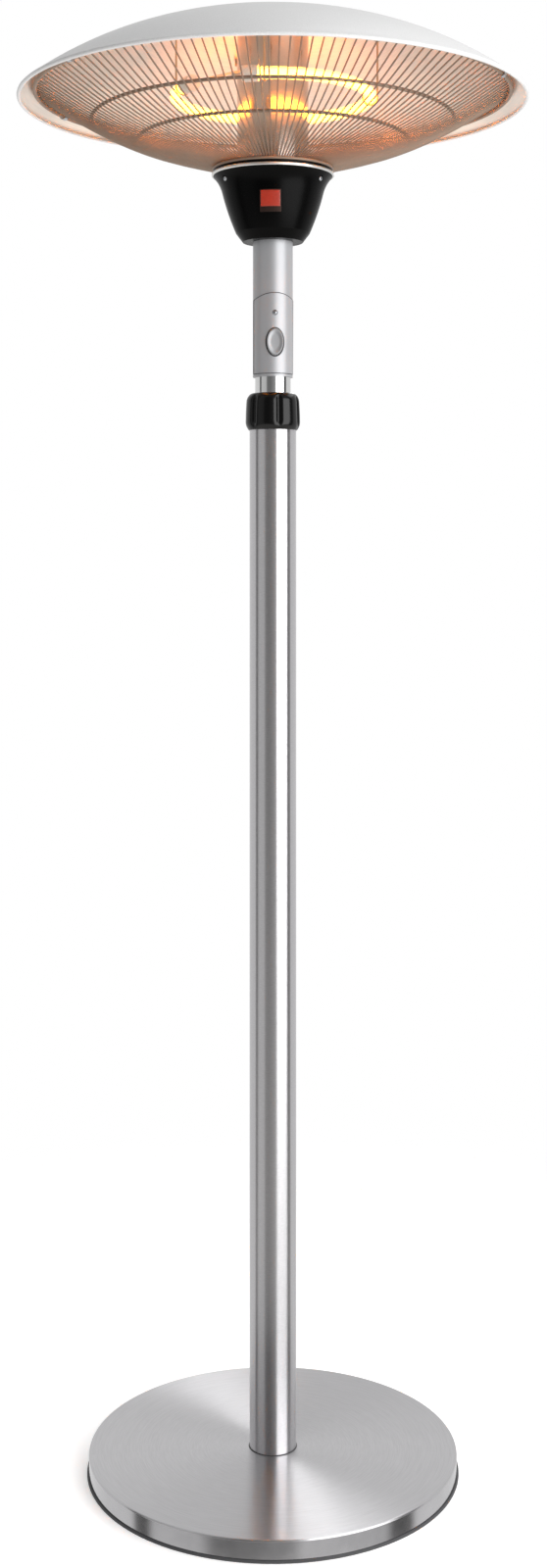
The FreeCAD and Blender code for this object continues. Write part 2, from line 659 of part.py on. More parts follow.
def push_switch():
    """Push switch on the board, bored for its plunger."""
    height = HOUSING_BOTTOM + BUTTON_HEIGHT
    body = block((SWITCH_SIDE, SWITCH_DEPTH, SWITCH_SIDE),
                 Vector(0, -BOARD_FACE - SWITCH_DEPTH / 2, height - SWITCH_SIDE / 2))
    level = Vector(0, 0, height)
    depth = PLUNGER_GRIP + BUTTON_TRAVEL + CLEAR
    end = level - BACK * (switch_front() - depth)
    return body.cut(rod(PLUNGER_RADIUS + CLEAR, end, level - BACK * (2 * switch_front())))


def control_board():
    """Circuit board on the housing's ribs."""
    low, high = BOARD_SPAN
    return block((BOARD_WIDTH, BOARD_SHEET, high - low),
                 Vector(0, -BOARD_FACE + BOARD_SHEET / 2, HOUSING_BOTTOM + low))


def power_relay():
    """Relay on the back of the board."""
    return block(RELAY_SIZE, Vector(0, board_back() + RELAY_SIZE[1] / 2, HOUSING_BOTTOM + RELAY_BOTTOM))


def indicator_lens():
    """Clear light pipe from the board to the cover, with a domed end."""
    level = Vector(0, 0, HOUSING_BOTTOM + LENS_HEIGHT)
    front = COVER_RADIUS + LENS_PROUD
    pipe = rod(LENS_RADIUS, level - BACK * BOARD_FACE, level - BACK * front)
    rim = [edge for edge in pipe.Edges if edge.BoundBox.YMax < -front + FIT]
    return pipe.makeFillet(LENS_PROUD, rim)


# Neck

def neck_curve():
    """Edges of the neck's outer face, from its floor up to its rim."""
    floor = HOUSING_TOP
    hole = point(SPIGOT_RADIUS + SEAT, floor)
    flat = point(NECK_FLOOR_RADIUS, floor)
    span = NECK_TOP_RADIUS - NECK_FLOOR_RADIUS
    marks = (NECK_CORNER, NECK_BULGE, NECK_WAIST)
    start = NECK_FLOOR_RADIUS
    corner, bulge, waist = [point(start + span * share, floor + height) for share, height in marks]
    rim = point(NECK_TOP_RADIUS, NECK_TOP)
    bell = Part.Arc(corner, bulge, waist).toShape()
    heading = bell.tangentAt(bell.LastParameter)
    flare = arc_about(tangent_centre(waist, heading, rim), waist, rim)
    return [Part.makeLine(hole, flat), Part.makeLine(flat, corner), bell, flare]


def neck_face_radius(height):
    """Radius of the neck's outer face at a height in its flare."""
    level = Part.makeLine(point(0, height), point(2 * NECK_TOP_RADIUS, height))
    return neck_curve()[-1].distToShape(level)[1][0][0].x


def neck_screw_seat():
    """Depth at which the neck screws' heads sit."""
    return neck_face_radius(NECK_TOP - NECK_SCREW_DROP) - NECK_SCREW_SINK


def neck_housing():
    """Black bell between the switch housing and the head."""
    section = Part.Wire(neck_curve()).makeOffset2D(NECK_WALL, 2, True, True, False)
    shell = section.revolve(ORIGIN, UP, 360)
    floor = HOUSING_TOP
    shell = shell.common(tube(2 * NECK_TOP_RADIUS, SPIGOT_RADIUS + SEAT, floor, NECK_TOP))
    height = NECK_TOP - NECK_SCREW_DROP
    seat = neck_screw_seat()
    for angle in NECK_SCREW_ANGLES:
        pocket = rod(SMALL_HEAD + SCREW_PLAY, polar(seat, angle, height), polar(2 * seat, angle, height))
        hole = rod(SMALL_SCREW + SCREW_PLAY, polar(seat / 2, angle, height), polar(seat, angle, height))
        shell = shell.cut(pocket).cut(hole)
    return shell


def neck_screws():
    """Screws through the neck into the mounting plate's skirt."""
    height = NECK_TOP - NECK_SCREW_DROP
    seat = neck_screw_seat()
    screws = []
    for angle in NECK_SCREW_ANGLES:
        inward = polar(-1, angle, 0)
        length = seat - skirt_radius() + 2 * PLATE_SKIRT_WALL
        screws.append(small_screw(polar(seat, angle, height), inward, length))
    return Part.makeCompound(screws)


def ring_nut():
    """Nut inside the neck that clamps its floor on the housing's shoulder."""
    bottom = HOUSING_TOP + NECK_WALL
    corners = NECK_FLOOR_RADIUS - NECK_WALL - NUT_GAP
    nut = hexagon(2 * corners * math.cos(math.pi / 6), bottom, NUT_HEIGHT)
    return nut.cut(rod(SPIGOT_RADIUS + FIT, Vector(0, 0, bottom), Vector(0, 0, bottom + NUT_HEIGHT)))


def skirt_radius():
    """Outside of the mounting plate's skirt."""
    return neck_face_radius(TRIM_TOP - PLATE_SKIRT) - NECK_SLANT * NECK_WALL - PLATE_SKIRT_GAP


def trim_ring():
    """Bright ring on the neck's rim."""
    ring = tube(TRIM_RADIUS, skirt_radius() + CLEAR, NECK_TOP, TRIM_TOP)
    outer = []
    for edge in ring.Edges:
        if edge.BoundBox.XMax > TRIM_RADIUS - FIT and edge.BoundBox.ZLength < FIT:
            outer.append(edge)
    return ring.makeFillet(TRIM_EDGE, outer)


def mounting_plate():
    """Black plate that closes the neck, with a skirt below and a spigot above."""
    plate = tube(PLATE_RADIUS, PLATE_HOLE, TRIM_TOP, PLATE_TOP)
    skirt = tube(skirt_radius(), skirt_radius() - PLATE_SKIRT_WALL, TRIM_TOP - PLATE_SKIRT, TRIM_TOP)
    spigot = tube(SPIGOT_OUTSIDE, SPIGOT_OUTSIDE - POST_SPIGOT_WALL, PLATE_TOP, PLATE_TOP + POST_SPIGOT)
    plate = plate.fuse([skirt, spigot])
    height = NECK_TOP - NECK_SCREW_DROP
    for angle in NECK_SCREW_ANGLES:
        start = polar(PLATE_HOLE, angle, height)
        plate = plate.cut(rod(SMALL_SCREW + SCREW_PLAY, start, polar(PLATE_RADIUS, angle, height)))
    for angle in POST_SCREW_ANGLES:
        height = PLATE_TOP + POST_SPIGOT / 2
        start = polar(PLATE_HOLE, angle, height)
        plate = plate.cut(rod(SMALL_SCREW + SCREW_PLAY, start, polar(POST_RADIUS, angle, height)))
    return plate.removeSplitter()


def terminal_radius():
    """Middle of the terminal block from the axis, so that its corners clear the skirt."""
    outer = skirt_radius() - PLATE_SKIRT_WALL - TERMINAL_GAP
    return math.sqrt(outer ** 2 - (TERMINAL_SIZE[0] / 2) ** 2) - TERMINAL_SIZE[1] / 2


def terminal_block():
    """Terminal block under the plate, beside the leads."""
    top = Vector(0, -terminal_radius(), TRIM_TOP - TERMINAL_SIZE[2])
    return spun(block(TERMINAL_SIZE, top), ELEMENT_TURN)


def tilt_switch():
    """Switch that cuts the power when the heater tips over."""
    top = Vector(0, terminal_radius(), TRIM_TOP - TILT_SIZE[2])
    return spun(block(TILT_SIZE, top), ELEMENT_TURN)


def switch_leads():
    """Two wires from the relay up to the terminal block."""
    relay_top = HOUSING_BOTTOM + RELAY_BOTTOM + RELAY_SIZE[2]
    entry = TRIM_TOP - TERMINAL_SIZE[2]
    rise = HOUSING_TOP + SPIGOT_HEIGHT + 3 * LEAD_BEND
    leads = []
    for side in (-1, 1):
        start = side * (SMALL_SCREW + LEAD_RADIUS + LEAD_HOLE / 2)
        away = side * TERMINAL_SIZE[0] / 4
        end = Vector(away, -terminal_radius(), entry)
        points = [Vector(start, 0, relay_top), Vector(start, 0, rise), end - UP * (3 * LEAD_BEND), end]
        leads.append(spun(piped(round_path(points, LEAD_BEND), LEAD_RADIUS), ELEMENT_TURN))
    return Part.makeCompound(leads)


# Centre post

def post_holes():
    """Holes in the post for its screws and for the element's leads."""
    holes = []
    for angle in POST_SCREW_ANGLES:
        for height in (PLATE_TOP + POST_SPIGOT / 2, POST_TOP - POST_SPIGOT / 2):
            holes.append(rod(SMALL_SCREW + SCREW_PLAY, polar(SPIGOT_OUTSIDE, angle, height),
                             polar(2 * POST_RADIUS, angle, height)))
    for side in (-1, 1):
        inner, outer = lead_points(side)[3:5]
        hole = rod(LEAD_HOLE, outer, inner)
        holes.append(spun(hole, ELEMENT_TURN))
    return holes


def centre_post():
    """Polished tube that carries the dish."""
    return tube(POST_RADIUS, POST_BORE, PLATE_TOP, POST_TOP).cut(post_holes())


def post_cap():
    """Cap on the post that the dish is screwed to."""
    disc = tube(POST_RADIUS + CAP_LIP, PLATE_HOLE / 2, POST_TOP, DISH_UNDER)
    spigot = tube(SPIGOT_OUTSIDE, SPIGOT_OUTSIDE - POST_SPIGOT_WALL, POST_TOP - POST_SPIGOT, POST_TOP)
    cap = disc.fuse(spigot)
    height = POST_TOP - POST_SPIGOT / 2
    for angle in POST_SCREW_ANGLES:
        start = polar(PLATE_HOLE, angle, height)
        cap = cap.cut(rod(SMALL_SCREW + SCREW_PLAY, start, polar(POST_RADIUS, angle, height)))
    for angle in even(DISH_SCREWS):
        spot = polar(DISH_SCREW_CIRCLE, angle, 0)
        cap = cap.cut(rod(DISH_SCREW + FIT, spot + UP * (POST_TOP - CAP_SHEET), spot + UP * DISH_TOP))
    return cap.removeSplitter()


def post_screws():
    """Small screws that hold the post to the plate and the cap."""
    screws = []
    for height in (PLATE_TOP + POST_SPIGOT / 2, POST_TOP - POST_SPIGOT / 2):
        for angle in POST_SCREW_ANGLES:
            seat = polar(POST_RADIUS, angle, height)
            screws.append(small_screw(seat, polar(-1, angle, 0), POST_WALL + SEAT + 2 * POST_SPIGOT_WALL))
    return Part.makeCompound(screws)


# Reflector dish

DISH_CENTRE_DROP = math.sqrt(DISH_BEND ** 2 - (CROWN_FLAT - DISH_BEND_OFFSET) ** 2)
DISH_CENTRE = point(DISH_BEND_OFFSET, DISH_TOP - DISH_CENTRE_DROP)


def dish_height(radius, depth):
    """Height of the dish's curve at a radius, at a depth under its outer face."""
    return DISH_CENTRE.z + math.sqrt((DISH_BEND - depth) ** 2 - (radius - DISH_CENTRE.x) ** 2)


def bead_centre():
    """Centre of the rolled rim's section."""
    radius = DISH_RADIUS - BEAD_RADIUS
    return point(radius, dish_height(radius, DISH_SHEET / 2))


def reflector_dish():
    """Spun sheet with a flat crown and a rolled rim."""
    rim = bead_centre().x
    drop = DISH_TOP - DISH_SHEET - DISH_CENTRE.z
    flat_inside = DISH_CENTRE.x + math.sqrt((DISH_BEND - DISH_SHEET) ** 2 - drop ** 2)
    corners = [point(CROWN_FLAT, DISH_TOP), point(rim, dish_height(rim, 0)),
               point(rim, dish_height(rim, DISH_SHEET)), point(flat_inside, DISH_UNDER)]
    edges = [Part.makeLine(point(0, DISH_TOP), corners[0]), arc_about(DISH_CENTRE, corners[0], corners[1]),
             Part.makeLine(corners[1], corners[2]), arc_about(DISH_CENTRE, corners[2], corners[3]),
             Part.makeLine(corners[3], point(0, DISH_UNDER)),
             Part.makeLine(point(0, DISH_UNDER), point(0, DISH_TOP))]
    bead = Part.makeTorus(rim, BEAD_RADIUS, point(0, bead_centre().z))
    dish = swing(edges).fuse(bead)
    for angle in even(DISH_SCREWS):
        spot = polar(DISH_SCREW_CIRCLE, angle, 0)
        end = spot + UP * (DISH_TOP + CAP_SHEET)
        dish = dish.cut(rod(DISH_SCREW + SCREW_PLAY, spot + UP * POST_TOP, end))
    return dish


def dish_screws():
    """Round-headed screws on the dish's crown."""
    head = Part.makeCylinder(DISH_SCREW_HEAD, DISH_SCREW_HEIGHT, point(DISH_SCREW_CIRCLE, DISH_TOP))
    rim = [edge for edge in head.Edges if edge.BoundBox.ZMin > DISH_TOP + FIT]
    head = head.makeFillet(DISH_SCREW_HEIGHT * 2 / 3, rim)
    start = point(DISH_SCREW_CIRCLE, DISH_TOP)
    shank = rod(DISH_SCREW, start, start - UP * DISH_SCREW_LENGTH)
    return group(spun(head.fuse(shank).removeSplitter(), -90), even(DISH_SCREWS))


# Grille

def outer_ring_centre():
    """Centre of the outer ring's section, held under the dish by the clips."""
    depth = DISH_SHEET + SEAT + CLIP_SHEET + SEAT + OUTER_RING
    return point(GRILLE_RADIUS, dish_height(GRILLE_RADIUS, depth))


def wire_line():
    """Middle line of one wire: inner end, bend and outer end."""
    inner = point(INNER_RING_RADIUS, PLATE_TOP + INNER_RING)
    outer = outer_ring_centre()
    along = (outer - inner).normalize()
    over = Vector(-along.z, 0, along.x)
    start = inner + over * (INNER_RING + WIRE_RADIUS)
    end = outer + over * (OUTER_RING + WIRE_RADIUS)
    bend = start + (end - start) * BEND_SHARE - UP * GRILLE_SAG
    return start, bend, end


def middle_ring_centre(share):
    """Centre of a ring that lies on the wires, inside the guard, at a share of their span."""
    start, bend, end = wire_line()
    radius = start.x + (end.x - start.x) * share
    low, high = (start, bend) if radius < bend.x else (bend, end)
    along = (high - low).normalize()
    spot = low + along * ((radius - low.x) / along.x)
    return spot + Vector(-along.z, 0, along.x) * (WIRE_RADIUS + MIDDLE_RING)


def grille_wires():
    """Radial wires of the guard, bent once between the middle rings."""
    start, bend, end = wire_line()
    first = (bend - start).normalize()
    last = (end - bend).normalize()
    path = Part.makePolygon([start - first * WIRE_TAIL, bend, end + last * WIRE_TAIL])
    side = BACK.cross(first)
    corners = []
    flat = WIRE_RADIUS / math.cos(math.pi / WIRE_SIDES)
    for index in range(WIRE_SIDES):
        turn = 2 * math.pi * (index + 0.5) / WIRE_SIDES
        offset = side * (flat * math.cos(turn)) + BACK * (flat * math.sin(turn))
        corners.append(start - first * WIRE_TAIL + offset)
    profile = Part.makePolygon(corners + corners[:1])
    wire = path.makePipeShell([profile], True, False, 1)
    return group(spun(wire, -90), even(GRILLE_WIRES))


def ring_about(centre, radius):
    """Round ring about Z through the centre of its section."""
    return Part.makeTorus(centre.x, radius, point(0, centre.z))


def grille_clips():
    """Sheet clips that hang the outer ring from the dish, each between two wires."""
    centre = outer_ring_centre()
    bore = OUTER_RING + SEAT
    loop = Part.makeCircle(bore + CLIP_SHEET, centre, BACK)
    hole = Part.makeCircle(bore, centre, BACK)
    sleeve = Part.Face(Part.Wire(loop)).cut(Part.Face(Part.Wire(hole)))
    near = DISH_SHEET + SEAT
    far = near + CLIP_SHEET
    low = GRILLE_RADIUS + bore
    high = GRILLE_RADIUS - CLIP_TAB
    upper = [point(radius, dish_height(radius, near)) for radius in (low, high)]
    under = [point(radius, dish_height(radius, far)) for radius in (high, low)]
    edges = [arc_about(DISH_CENTRE, upper[0], upper[1]), Part.makeLine(upper[1], under[0]),
             arc_about(DISH_CENTRE, under[0], under[1]), Part.makeLine(under[1], upper[0])]
    tab = Part.Face(Part.Wire(edges))
    section = sleeve.fuse(tab).cut(Part.Face(Part.Wire(hole))).removeSplitter()
    spread = math.degrees(CLIP_WIDTH / GRILLE_RADIUS)
    clip = section.Faces[0].revolve(ORIGIN, UP, spread)
    between = 180.0 / GRILLE_WIRES
    return group(spun(clip, -90 - spread / 2 + between), even(CLIPS))


# Heating element, drawn with its gap to the front and then turned

def element_arc(radius, start, sweep):
    """Round bar bent about Z, from an angle and over a sweep."""
    circle = Part.makeCircle(radius, point(ELEMENT_RADIUS, ELEMENT_Z), BACK)
    bar = Part.Face(Part.Wire(circle)).revolve(ORIGIN, UP, sweep)
    return spun(bar, start - 90 + ELEMENT_TURN)


def element_tube():
    """Quartz glass ring, open at the front left."""
    start = ELEMENT_GAP / 2
    sweep = 360 - ELEMENT_GAP
    return element_arc(GLASS_RADIUS, start, sweep).cut(element_arc(GLASS_RADIUS - GLASS_WALL, start, sweep))


def element_filament():
    """Glowing coil inside the glass, as the space its turns fill."""
    return element_arc(FILAMENT_RADIUS, ELEMENT_GAP / 2, 360 - ELEMENT_GAP)


def element_caps():
    """Ceramic ends of the glass ring."""
    span = END_CAP_GRIP + END_CAP_REACH
    first = ELEMENT_GAP / 2 - END_CAP_REACH
    last = -ELEMENT_GAP / 2 - END_CAP_GRIP
    bore = GLASS_RADIUS + SEAT
    near = element_arc(END_CAP_RADIUS, first, span).cut(element_arc(bore, ELEMENT_GAP / 2, span))
    far = element_arc(END_CAP_RADIUS, last, span).cut(element_arc(bore, last - span, span + END_CAP_GRIP))
    return Part.makeCompound([near, far])


def element_hooks():
    """Wire hooks that hang the glass ring from the dish, each with a ferrule at its top."""
    reach = GLASS_RADIUS + CLEAR + HOOK_RADIUS
    outer = ELEMENT_RADIUS + reach
    inner = ELEMENT_RADIUS - reach
    top = dish_height(outer + FERRULE_RADIUS, DISH_SHEET) - SEAT
    bottom = point(ELEMENT_RADIUS, ELEMENT_Z - reach)
    path = Part.Wire([Part.makeLine(point(outer, top), point(outer, ELEMENT_Z)),
                      Part.Arc(point(outer, ELEMENT_Z), bottom, point(inner, ELEMENT_Z)).toShape(),
                      Part.makeLine(point(inner, ELEMENT_Z), point(inner, ELEMENT_Z + HOOK_TIP))])
    ferrule = rod(FERRULE_RADIUS, point(outer, top - FERRULE_HEIGHT), point(outer, top))
    hook = piped(path, HOOK_RADIUS).fuse(ferrule).removeSplitter()
    return group(spun(hook, ELEMENT_TURN - 90), HOOK_ANGLES)


def lead_points(side):
    """Route of a lead: cap, low point, post hole, down inside the post, terminal block."""
    end = ELEMENT_GAP / 2 - END_CAP_REACH
    low_angle, hole_angle, drop_angle = [side * angle for angle in LEAD_ANGLES]
    entry = ELEMENT_Z + LEAD_RISE
    level = TRIM_TOP - TERMINAL_SIZE[2] / 2
    block_face = terminal_radius() - TERMINAL_SIZE[1] / 2
    inside = block_face - LEAD_STANDOFF
    tip = polar(ELEMENT_RADIUS, side * end, ELEMENT_Z)
    along = polar(-side * LEAD_START, side * end + 90, 0)
    drop = polar(inside, drop_angle, level)
    return [tip, tip + along, polar(POST_RADIUS + LEAD_SPAN, low_angle, entry - LEAD_SAG),
            polar(POST_RADIUS + LEAD_STUB, hole_angle, entry), polar(inside, drop_angle, entry),
            drop, Vector(drop.x, -block_face, level)]


def element_leads():
    """Two sleeved wires from the end caps through the post to the terminal block."""
    leads = []
    for side in (-1, 1):
        lead = piped(round_path(lead_points(side), LEAD_BEND), LEAD_RADIUS)
        leads.append(spun(lead, ELEMENT_TURN))
    return Part.makeCompound(leads)


PIECES = {
    "base_cover": base_cover(),
    "base_weight": base_weight(),
    "foot_ring": foot_ring(),
    "base_bolt": base_bolt(),
    "base_washer": base_washer(),
    "pole_plug": pole_plug(),
    "lower_pole": lower_pole(),
    "cable_grommet": cable_grommet(),
    "clamp_sleeve": clamp_sleeve(),
    "clamp_collet": clamp_collet(),
    "lock_collar": lock_collar(),
    "inner_pole": inner_pole(),
    "guide_bush": guide_bush(),
    "bush_circlips": bush_circlips(),
    "switch_housing": switch_housing(),
    "pole_screw": pole_screw(),
    "switch_cover": switch_cover(),
    "cover_screws": cover_screws(),
    "control_board": control_board(),
    "push_switch": push_switch(),
    "power_relay": power_relay(),
    "indicator_lens": indicator_lens(),
    "power_button": power_button(),
    "switch_plunger": switch_plunger(),
    "neck_housing": neck_housing(),
    "neck_screws": neck_screws(),
    "ring_nut": ring_nut(),
    "trim_ring": trim_ring(),
    "mounting_plate": mounting_plate(),
    "terminal_block": terminal_block(),
    "tilt_switch": tilt_switch(),
    "switch_leads": switch_leads(),
    "centre_post": centre_post(),
    "post_cap": post_cap(),
    "post_screws": post_screws(),
    "reflector_dish": reflector_dish(),
    "dish_screws": dish_screws(),
    "grille_wires": grille_wires(),
    "grille_outer_ring": ring_about(outer_ring_centre(), OUTER_RING),
    "grille_upper_ring": ring_about(middle_ring_centre(RING_SHARES[0]), MIDDLE_RING),
    "grille_lower_ring": ring_about(middle_ring_centre(RING_SHARES[1]), MIDDLE_RING),
    "grille_inner_ring": ring_about(point(INNER_RING_RADIUS, PLATE_TOP + INNER_RING), INNER_RING),
    "grille_clips": grille_clips(),
    "element_tube": element_tube(),
    "element_filament": element_filament(),
    "element_caps": element_caps(),
    "element_hooks": element_hooks(),
    "element_leads": element_leads(),
}

os.makedirs("parts", exist_ok=True)
for name, shape in PIECES.items():
    shape.exportStep("parts/" + name + ".step")
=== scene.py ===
import math

import bmesh
import bpy
from mathutils import Matrix, Vector
from mathutils.bvhtree import BVHTree
from mathutils.geometry import interpolate_bezier


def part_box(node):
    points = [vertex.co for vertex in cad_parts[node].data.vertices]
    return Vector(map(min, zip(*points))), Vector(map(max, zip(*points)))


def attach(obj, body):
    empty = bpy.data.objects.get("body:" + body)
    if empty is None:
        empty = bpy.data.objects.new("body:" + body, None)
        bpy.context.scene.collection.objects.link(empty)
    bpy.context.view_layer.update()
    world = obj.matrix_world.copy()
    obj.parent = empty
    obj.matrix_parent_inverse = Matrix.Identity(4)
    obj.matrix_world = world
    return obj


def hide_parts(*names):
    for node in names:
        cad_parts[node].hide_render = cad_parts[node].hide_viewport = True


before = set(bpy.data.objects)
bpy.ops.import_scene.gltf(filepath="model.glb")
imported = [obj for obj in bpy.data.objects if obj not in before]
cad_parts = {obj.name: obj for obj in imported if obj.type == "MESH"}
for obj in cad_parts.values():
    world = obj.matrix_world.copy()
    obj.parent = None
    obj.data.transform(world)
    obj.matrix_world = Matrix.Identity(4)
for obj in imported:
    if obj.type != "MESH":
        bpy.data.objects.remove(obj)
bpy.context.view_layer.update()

bl_info = {
    "name": "Patio heater",
    "version": (1, 0, 0),
    "blender": (4, 5, 0),
    "location": "View3D > Sidebar > Heater",
    "description": "Builds the looks of an electric patio heater around its solids",
    "category": "Object",
}

MM = 0.001
UP = Vector((0, 0, 1))
FULL_TURN = 2 * math.pi
SCREW_HEAD = 1.4 * MM


def linear(hex_colour):
    """sRGB hex value as a linear colour with alpha."""
    channels = []
    for start in (1, 3, 5):
        share = int(hex_colour[start:start + 2], 16) / 255
        channels.append(share / 12.92 if share <= 0.04045 else ((share + 0.055) / 1.055) ** 2.4)
    return (*channels, 1.0)


def outer_radius(name):
    """Radius of a CAD node that is round about Z."""
    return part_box(name)[1].x


def top_of(name):
    """Height of a CAD node's top."""
    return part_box(name)[1].z


def bottom_of(name):
    """Height of a CAD node's underside."""
    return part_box(name)[0].z


def ring_place(name):
    """Centre radius, height and wire radius of a ring bent from round wire."""
    low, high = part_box(name)
    wire = (high.z - low.z) / 2
    return high.x - wire, (high.z + low.z) / 2, wire


class HeaterSizes(bpy.types.PropertyGroup):
    """Sizes that a user would change."""
    wire_radius: bpy.props.FloatProperty(
        name="Grille wire", description="Radius of a grille wire",
        default=0.98 * MM, min=0.4 * MM, max=2.5 * MM, unit="LENGTH")
    wire_count: bpy.props.IntProperty(
        name="Wires", description="Number of wires round the grille", default=144, min=24, max=240)
    coil_radius: bpy.props.FloatProperty(
        name="Coil", description="Radius of the heating coil's turns",
        default=3.8 * MM, min=1 * MM, max=6 * MM, unit="LENGTH")
    coil_wire: bpy.props.FloatProperty(
        name="Coil wire", description="Radius of the heating wire",
        default=1.1 * MM, min=0.2 * MM, max=1.5 * MM, unit="LENGTH")
    coil_turns: bpy.props.IntProperty(
        name="Coil turns", description="Turns of the heating coil", default=210, min=40, max=400)
    element_gap: bpy.props.FloatProperty(
        name="Element gap", description="Angle that the heating ring leaves open, in degrees",
        default=47, min=10, max=120)
    element_turn: bpy.props.FloatProperty(
        name="Element turn", description="Middle of that gap from the front, in degrees",
        default=-41, min=-180, max=180)
    collar_reach: bpy.props.FloatProperty(
        name="Collar", description="Radius of the lock collar over its lobes",
        default=outer_radius("lock_collar"), min=29 * MM, max=40 * MM, unit="LENGTH")
    crown_radius: bpy.props.FloatProperty(
        name="Crown", description="Radius of the dish's flat top",
        default=48 * MM, min=20 * MM, max=120 * MM, unit="LENGTH")
    dish_bend: bpy.props.FloatProperty(
        name="Dish bend", description="Radius of the dish's curve in section",
        default=458 * MM, min=300 * MM, max=900 * MM, unit="LENGTH")
    plate_width: bpy.props.FloatProperty(
        name="Plate width", description="Width of the bare plate on the neck",
        default=24.5 * MM, min=5 * MM, max=40 * MM, unit="LENGTH")
    plate_height: bpy.props.FloatProperty(
        name="Plate height", description="Height of the bare plate on the neck",
        default=25 * MM, min=5 * MM, max=40 * MM, unit="LENGTH")


class HeaterColours(bpy.types.PropertyGroup):
    """Colours that a user would change."""
    steel: bpy.props.FloatVectorProperty(
        name="Steel", description="Brushed stainless steel", subtype="COLOR", size=4,
        default=linear("#d0cfd1"), min=0, max=1)
    bright: bpy.props.FloatVectorProperty(
        name="Bright steel", description="Chromed tube and trim", subtype="COLOR", size=4,
        default=linear("#e4e4e4"), min=0, max=1)
    paint: bpy.props.FloatVectorProperty(
        name="Silver paint", description="Switch housing and its cover", subtype="COLOR", size=4,
        default=linear("#b4b5b8"), min=0, max=1)
    enamel: bpy.props.FloatVectorProperty(
        name="Black enamel", description="Neck housing", subtype="COLOR", size=4,
        default=linear("#030303"), min=0, max=1)
    hood: bpy.props.FloatVectorProperty(
        name="Hood", description="Outside of the dish", subtype="COLOR", size=4,
        default=linear("#dedede"), min=0, max=1)
    plate: bpy.props.FloatVectorProperty(
        name="Neck plate", description="Enamel of the bare plate", subtype="COLOR", size=4,
        default=linear("#a62e1a"), min=0, max=1)
    glow: bpy.props.FloatVectorProperty(
        name="Glow", description="Light of the heating coil", subtype="COLOR", size=4,
        default=linear("#ff8a18"), min=0, max=1)


# Materials

def node(tree, kind, inputs=None, stops=(), **settings):
    """Add a node with its settings, set or link its inputs and place the stops of a colour ramp."""
    made = tree.nodes.new(kind)
    for name, value in settings.items():
        setattr(made, name, value)
    for name, value in (inputs or {}).items():
        if isinstance(value, bpy.types.NodeSocket):
            tree.links.new(value, made.inputs[name])
        else:
            made.inputs[name].default_value = value
    while stops and len(made.color_ramp.elements) < len(stops):
        made.color_ramp.elements.new(0.5)
    for index, (place, colour) in enumerate(stops):
        made.color_ramp.elements[index].position = place
        made.color_ramp.elements[index].color = colour
    return made


def new_finish(name):
    """Empty material with its node tree and output."""
    material = bpy.data.materials.new(name)
    material.use_nodes = True
    tree = material.node_tree
    tree.nodes.clear()
    return material, tree, node(tree, "ShaderNodeOutputMaterial")


def shade(colour, share):
    """Colour darkened to a share of itself."""
    return (*(share * channel for channel in colour[:3]), 1.0)


def turning_marks(tree, spacing):
    """Noise in fine rings about Z, as a lathe or a belt leaves it on a turned piece."""
    place = node(tree, "ShaderNodeTexCoord").outputs["Object"]
    split = node(tree, "ShaderNodeSeparateXYZ", {"Vector": place})
    flat = node(tree, "ShaderNodeVectorMath", {0: place, 1: (1, 1, 0)}, operation="MULTIPLY")
    radius = node(tree, "ShaderNodeVectorMath", {0: flat.outputs["Vector"]}, operation="LENGTH")
    angle = node(tree, "ShaderNodeMath", {0: split.outputs["Y"], 1: split.outputs["X"]}, operation="ARCTAN2")
    spread = node(tree, "ShaderNodeMath", {0: angle.outputs[0], 1: 6 * spacing}, operation="MULTIPLY")
    rings = node(tree, "ShaderNodeCombineXYZ",
                 {"X": radius.outputs["Value"], "Y": split.outputs["Z"], "Z": spread.outputs[0]})
    return node(tree, "ShaderNodeTexNoise", {"Vector": rings.outputs[0], "Scale": 1 / spacing, "Detail": 3.0,
                                             "Roughness": 0.6}).outputs["Fac"]


def brushed_metal(name, colour, roughness, spacing, stretch):
    """Sheet and tube brushed round the axis: the fine rings stretch each highlight along the axis
    on a tube and along the radius on a disc."""
    material, tree, output = new_finish(name)
    marks = turning_marks(tree, spacing)
    tint = node(tree, "ShaderNodeValToRGB", {"Fac": marks}, [(0.3, shade(colour, 0.86)), (0.7, colour)])
    rough = node(tree, "ShaderNodeMapRange",
                 {"Value": marks, "To Min": roughness * 0.85, "To Max": roughness * 1.2})
    bump = node(tree, "ShaderNodeBump", {"Height": marks, "Strength": 0.06, "Distance": 0.05 * MM})
    round_axis = node(tree, "ShaderNodeTangent", direction_type="RADIAL", axis="Z")
    shader = node(tree, "ShaderNodeBsdfPrincipled", {
        "Base Color": tint.outputs[0], "Metallic": 1.0, "Roughness": rough.outputs[0],
        "Normal": bump.outputs[0], "Anisotropic": stretch, "Anisotropic Rotation": 0.25,
        "Tangent": round_axis.outputs[0]})
    tree.links.new(shader.outputs[0], output.inputs["Surface"])
    return material


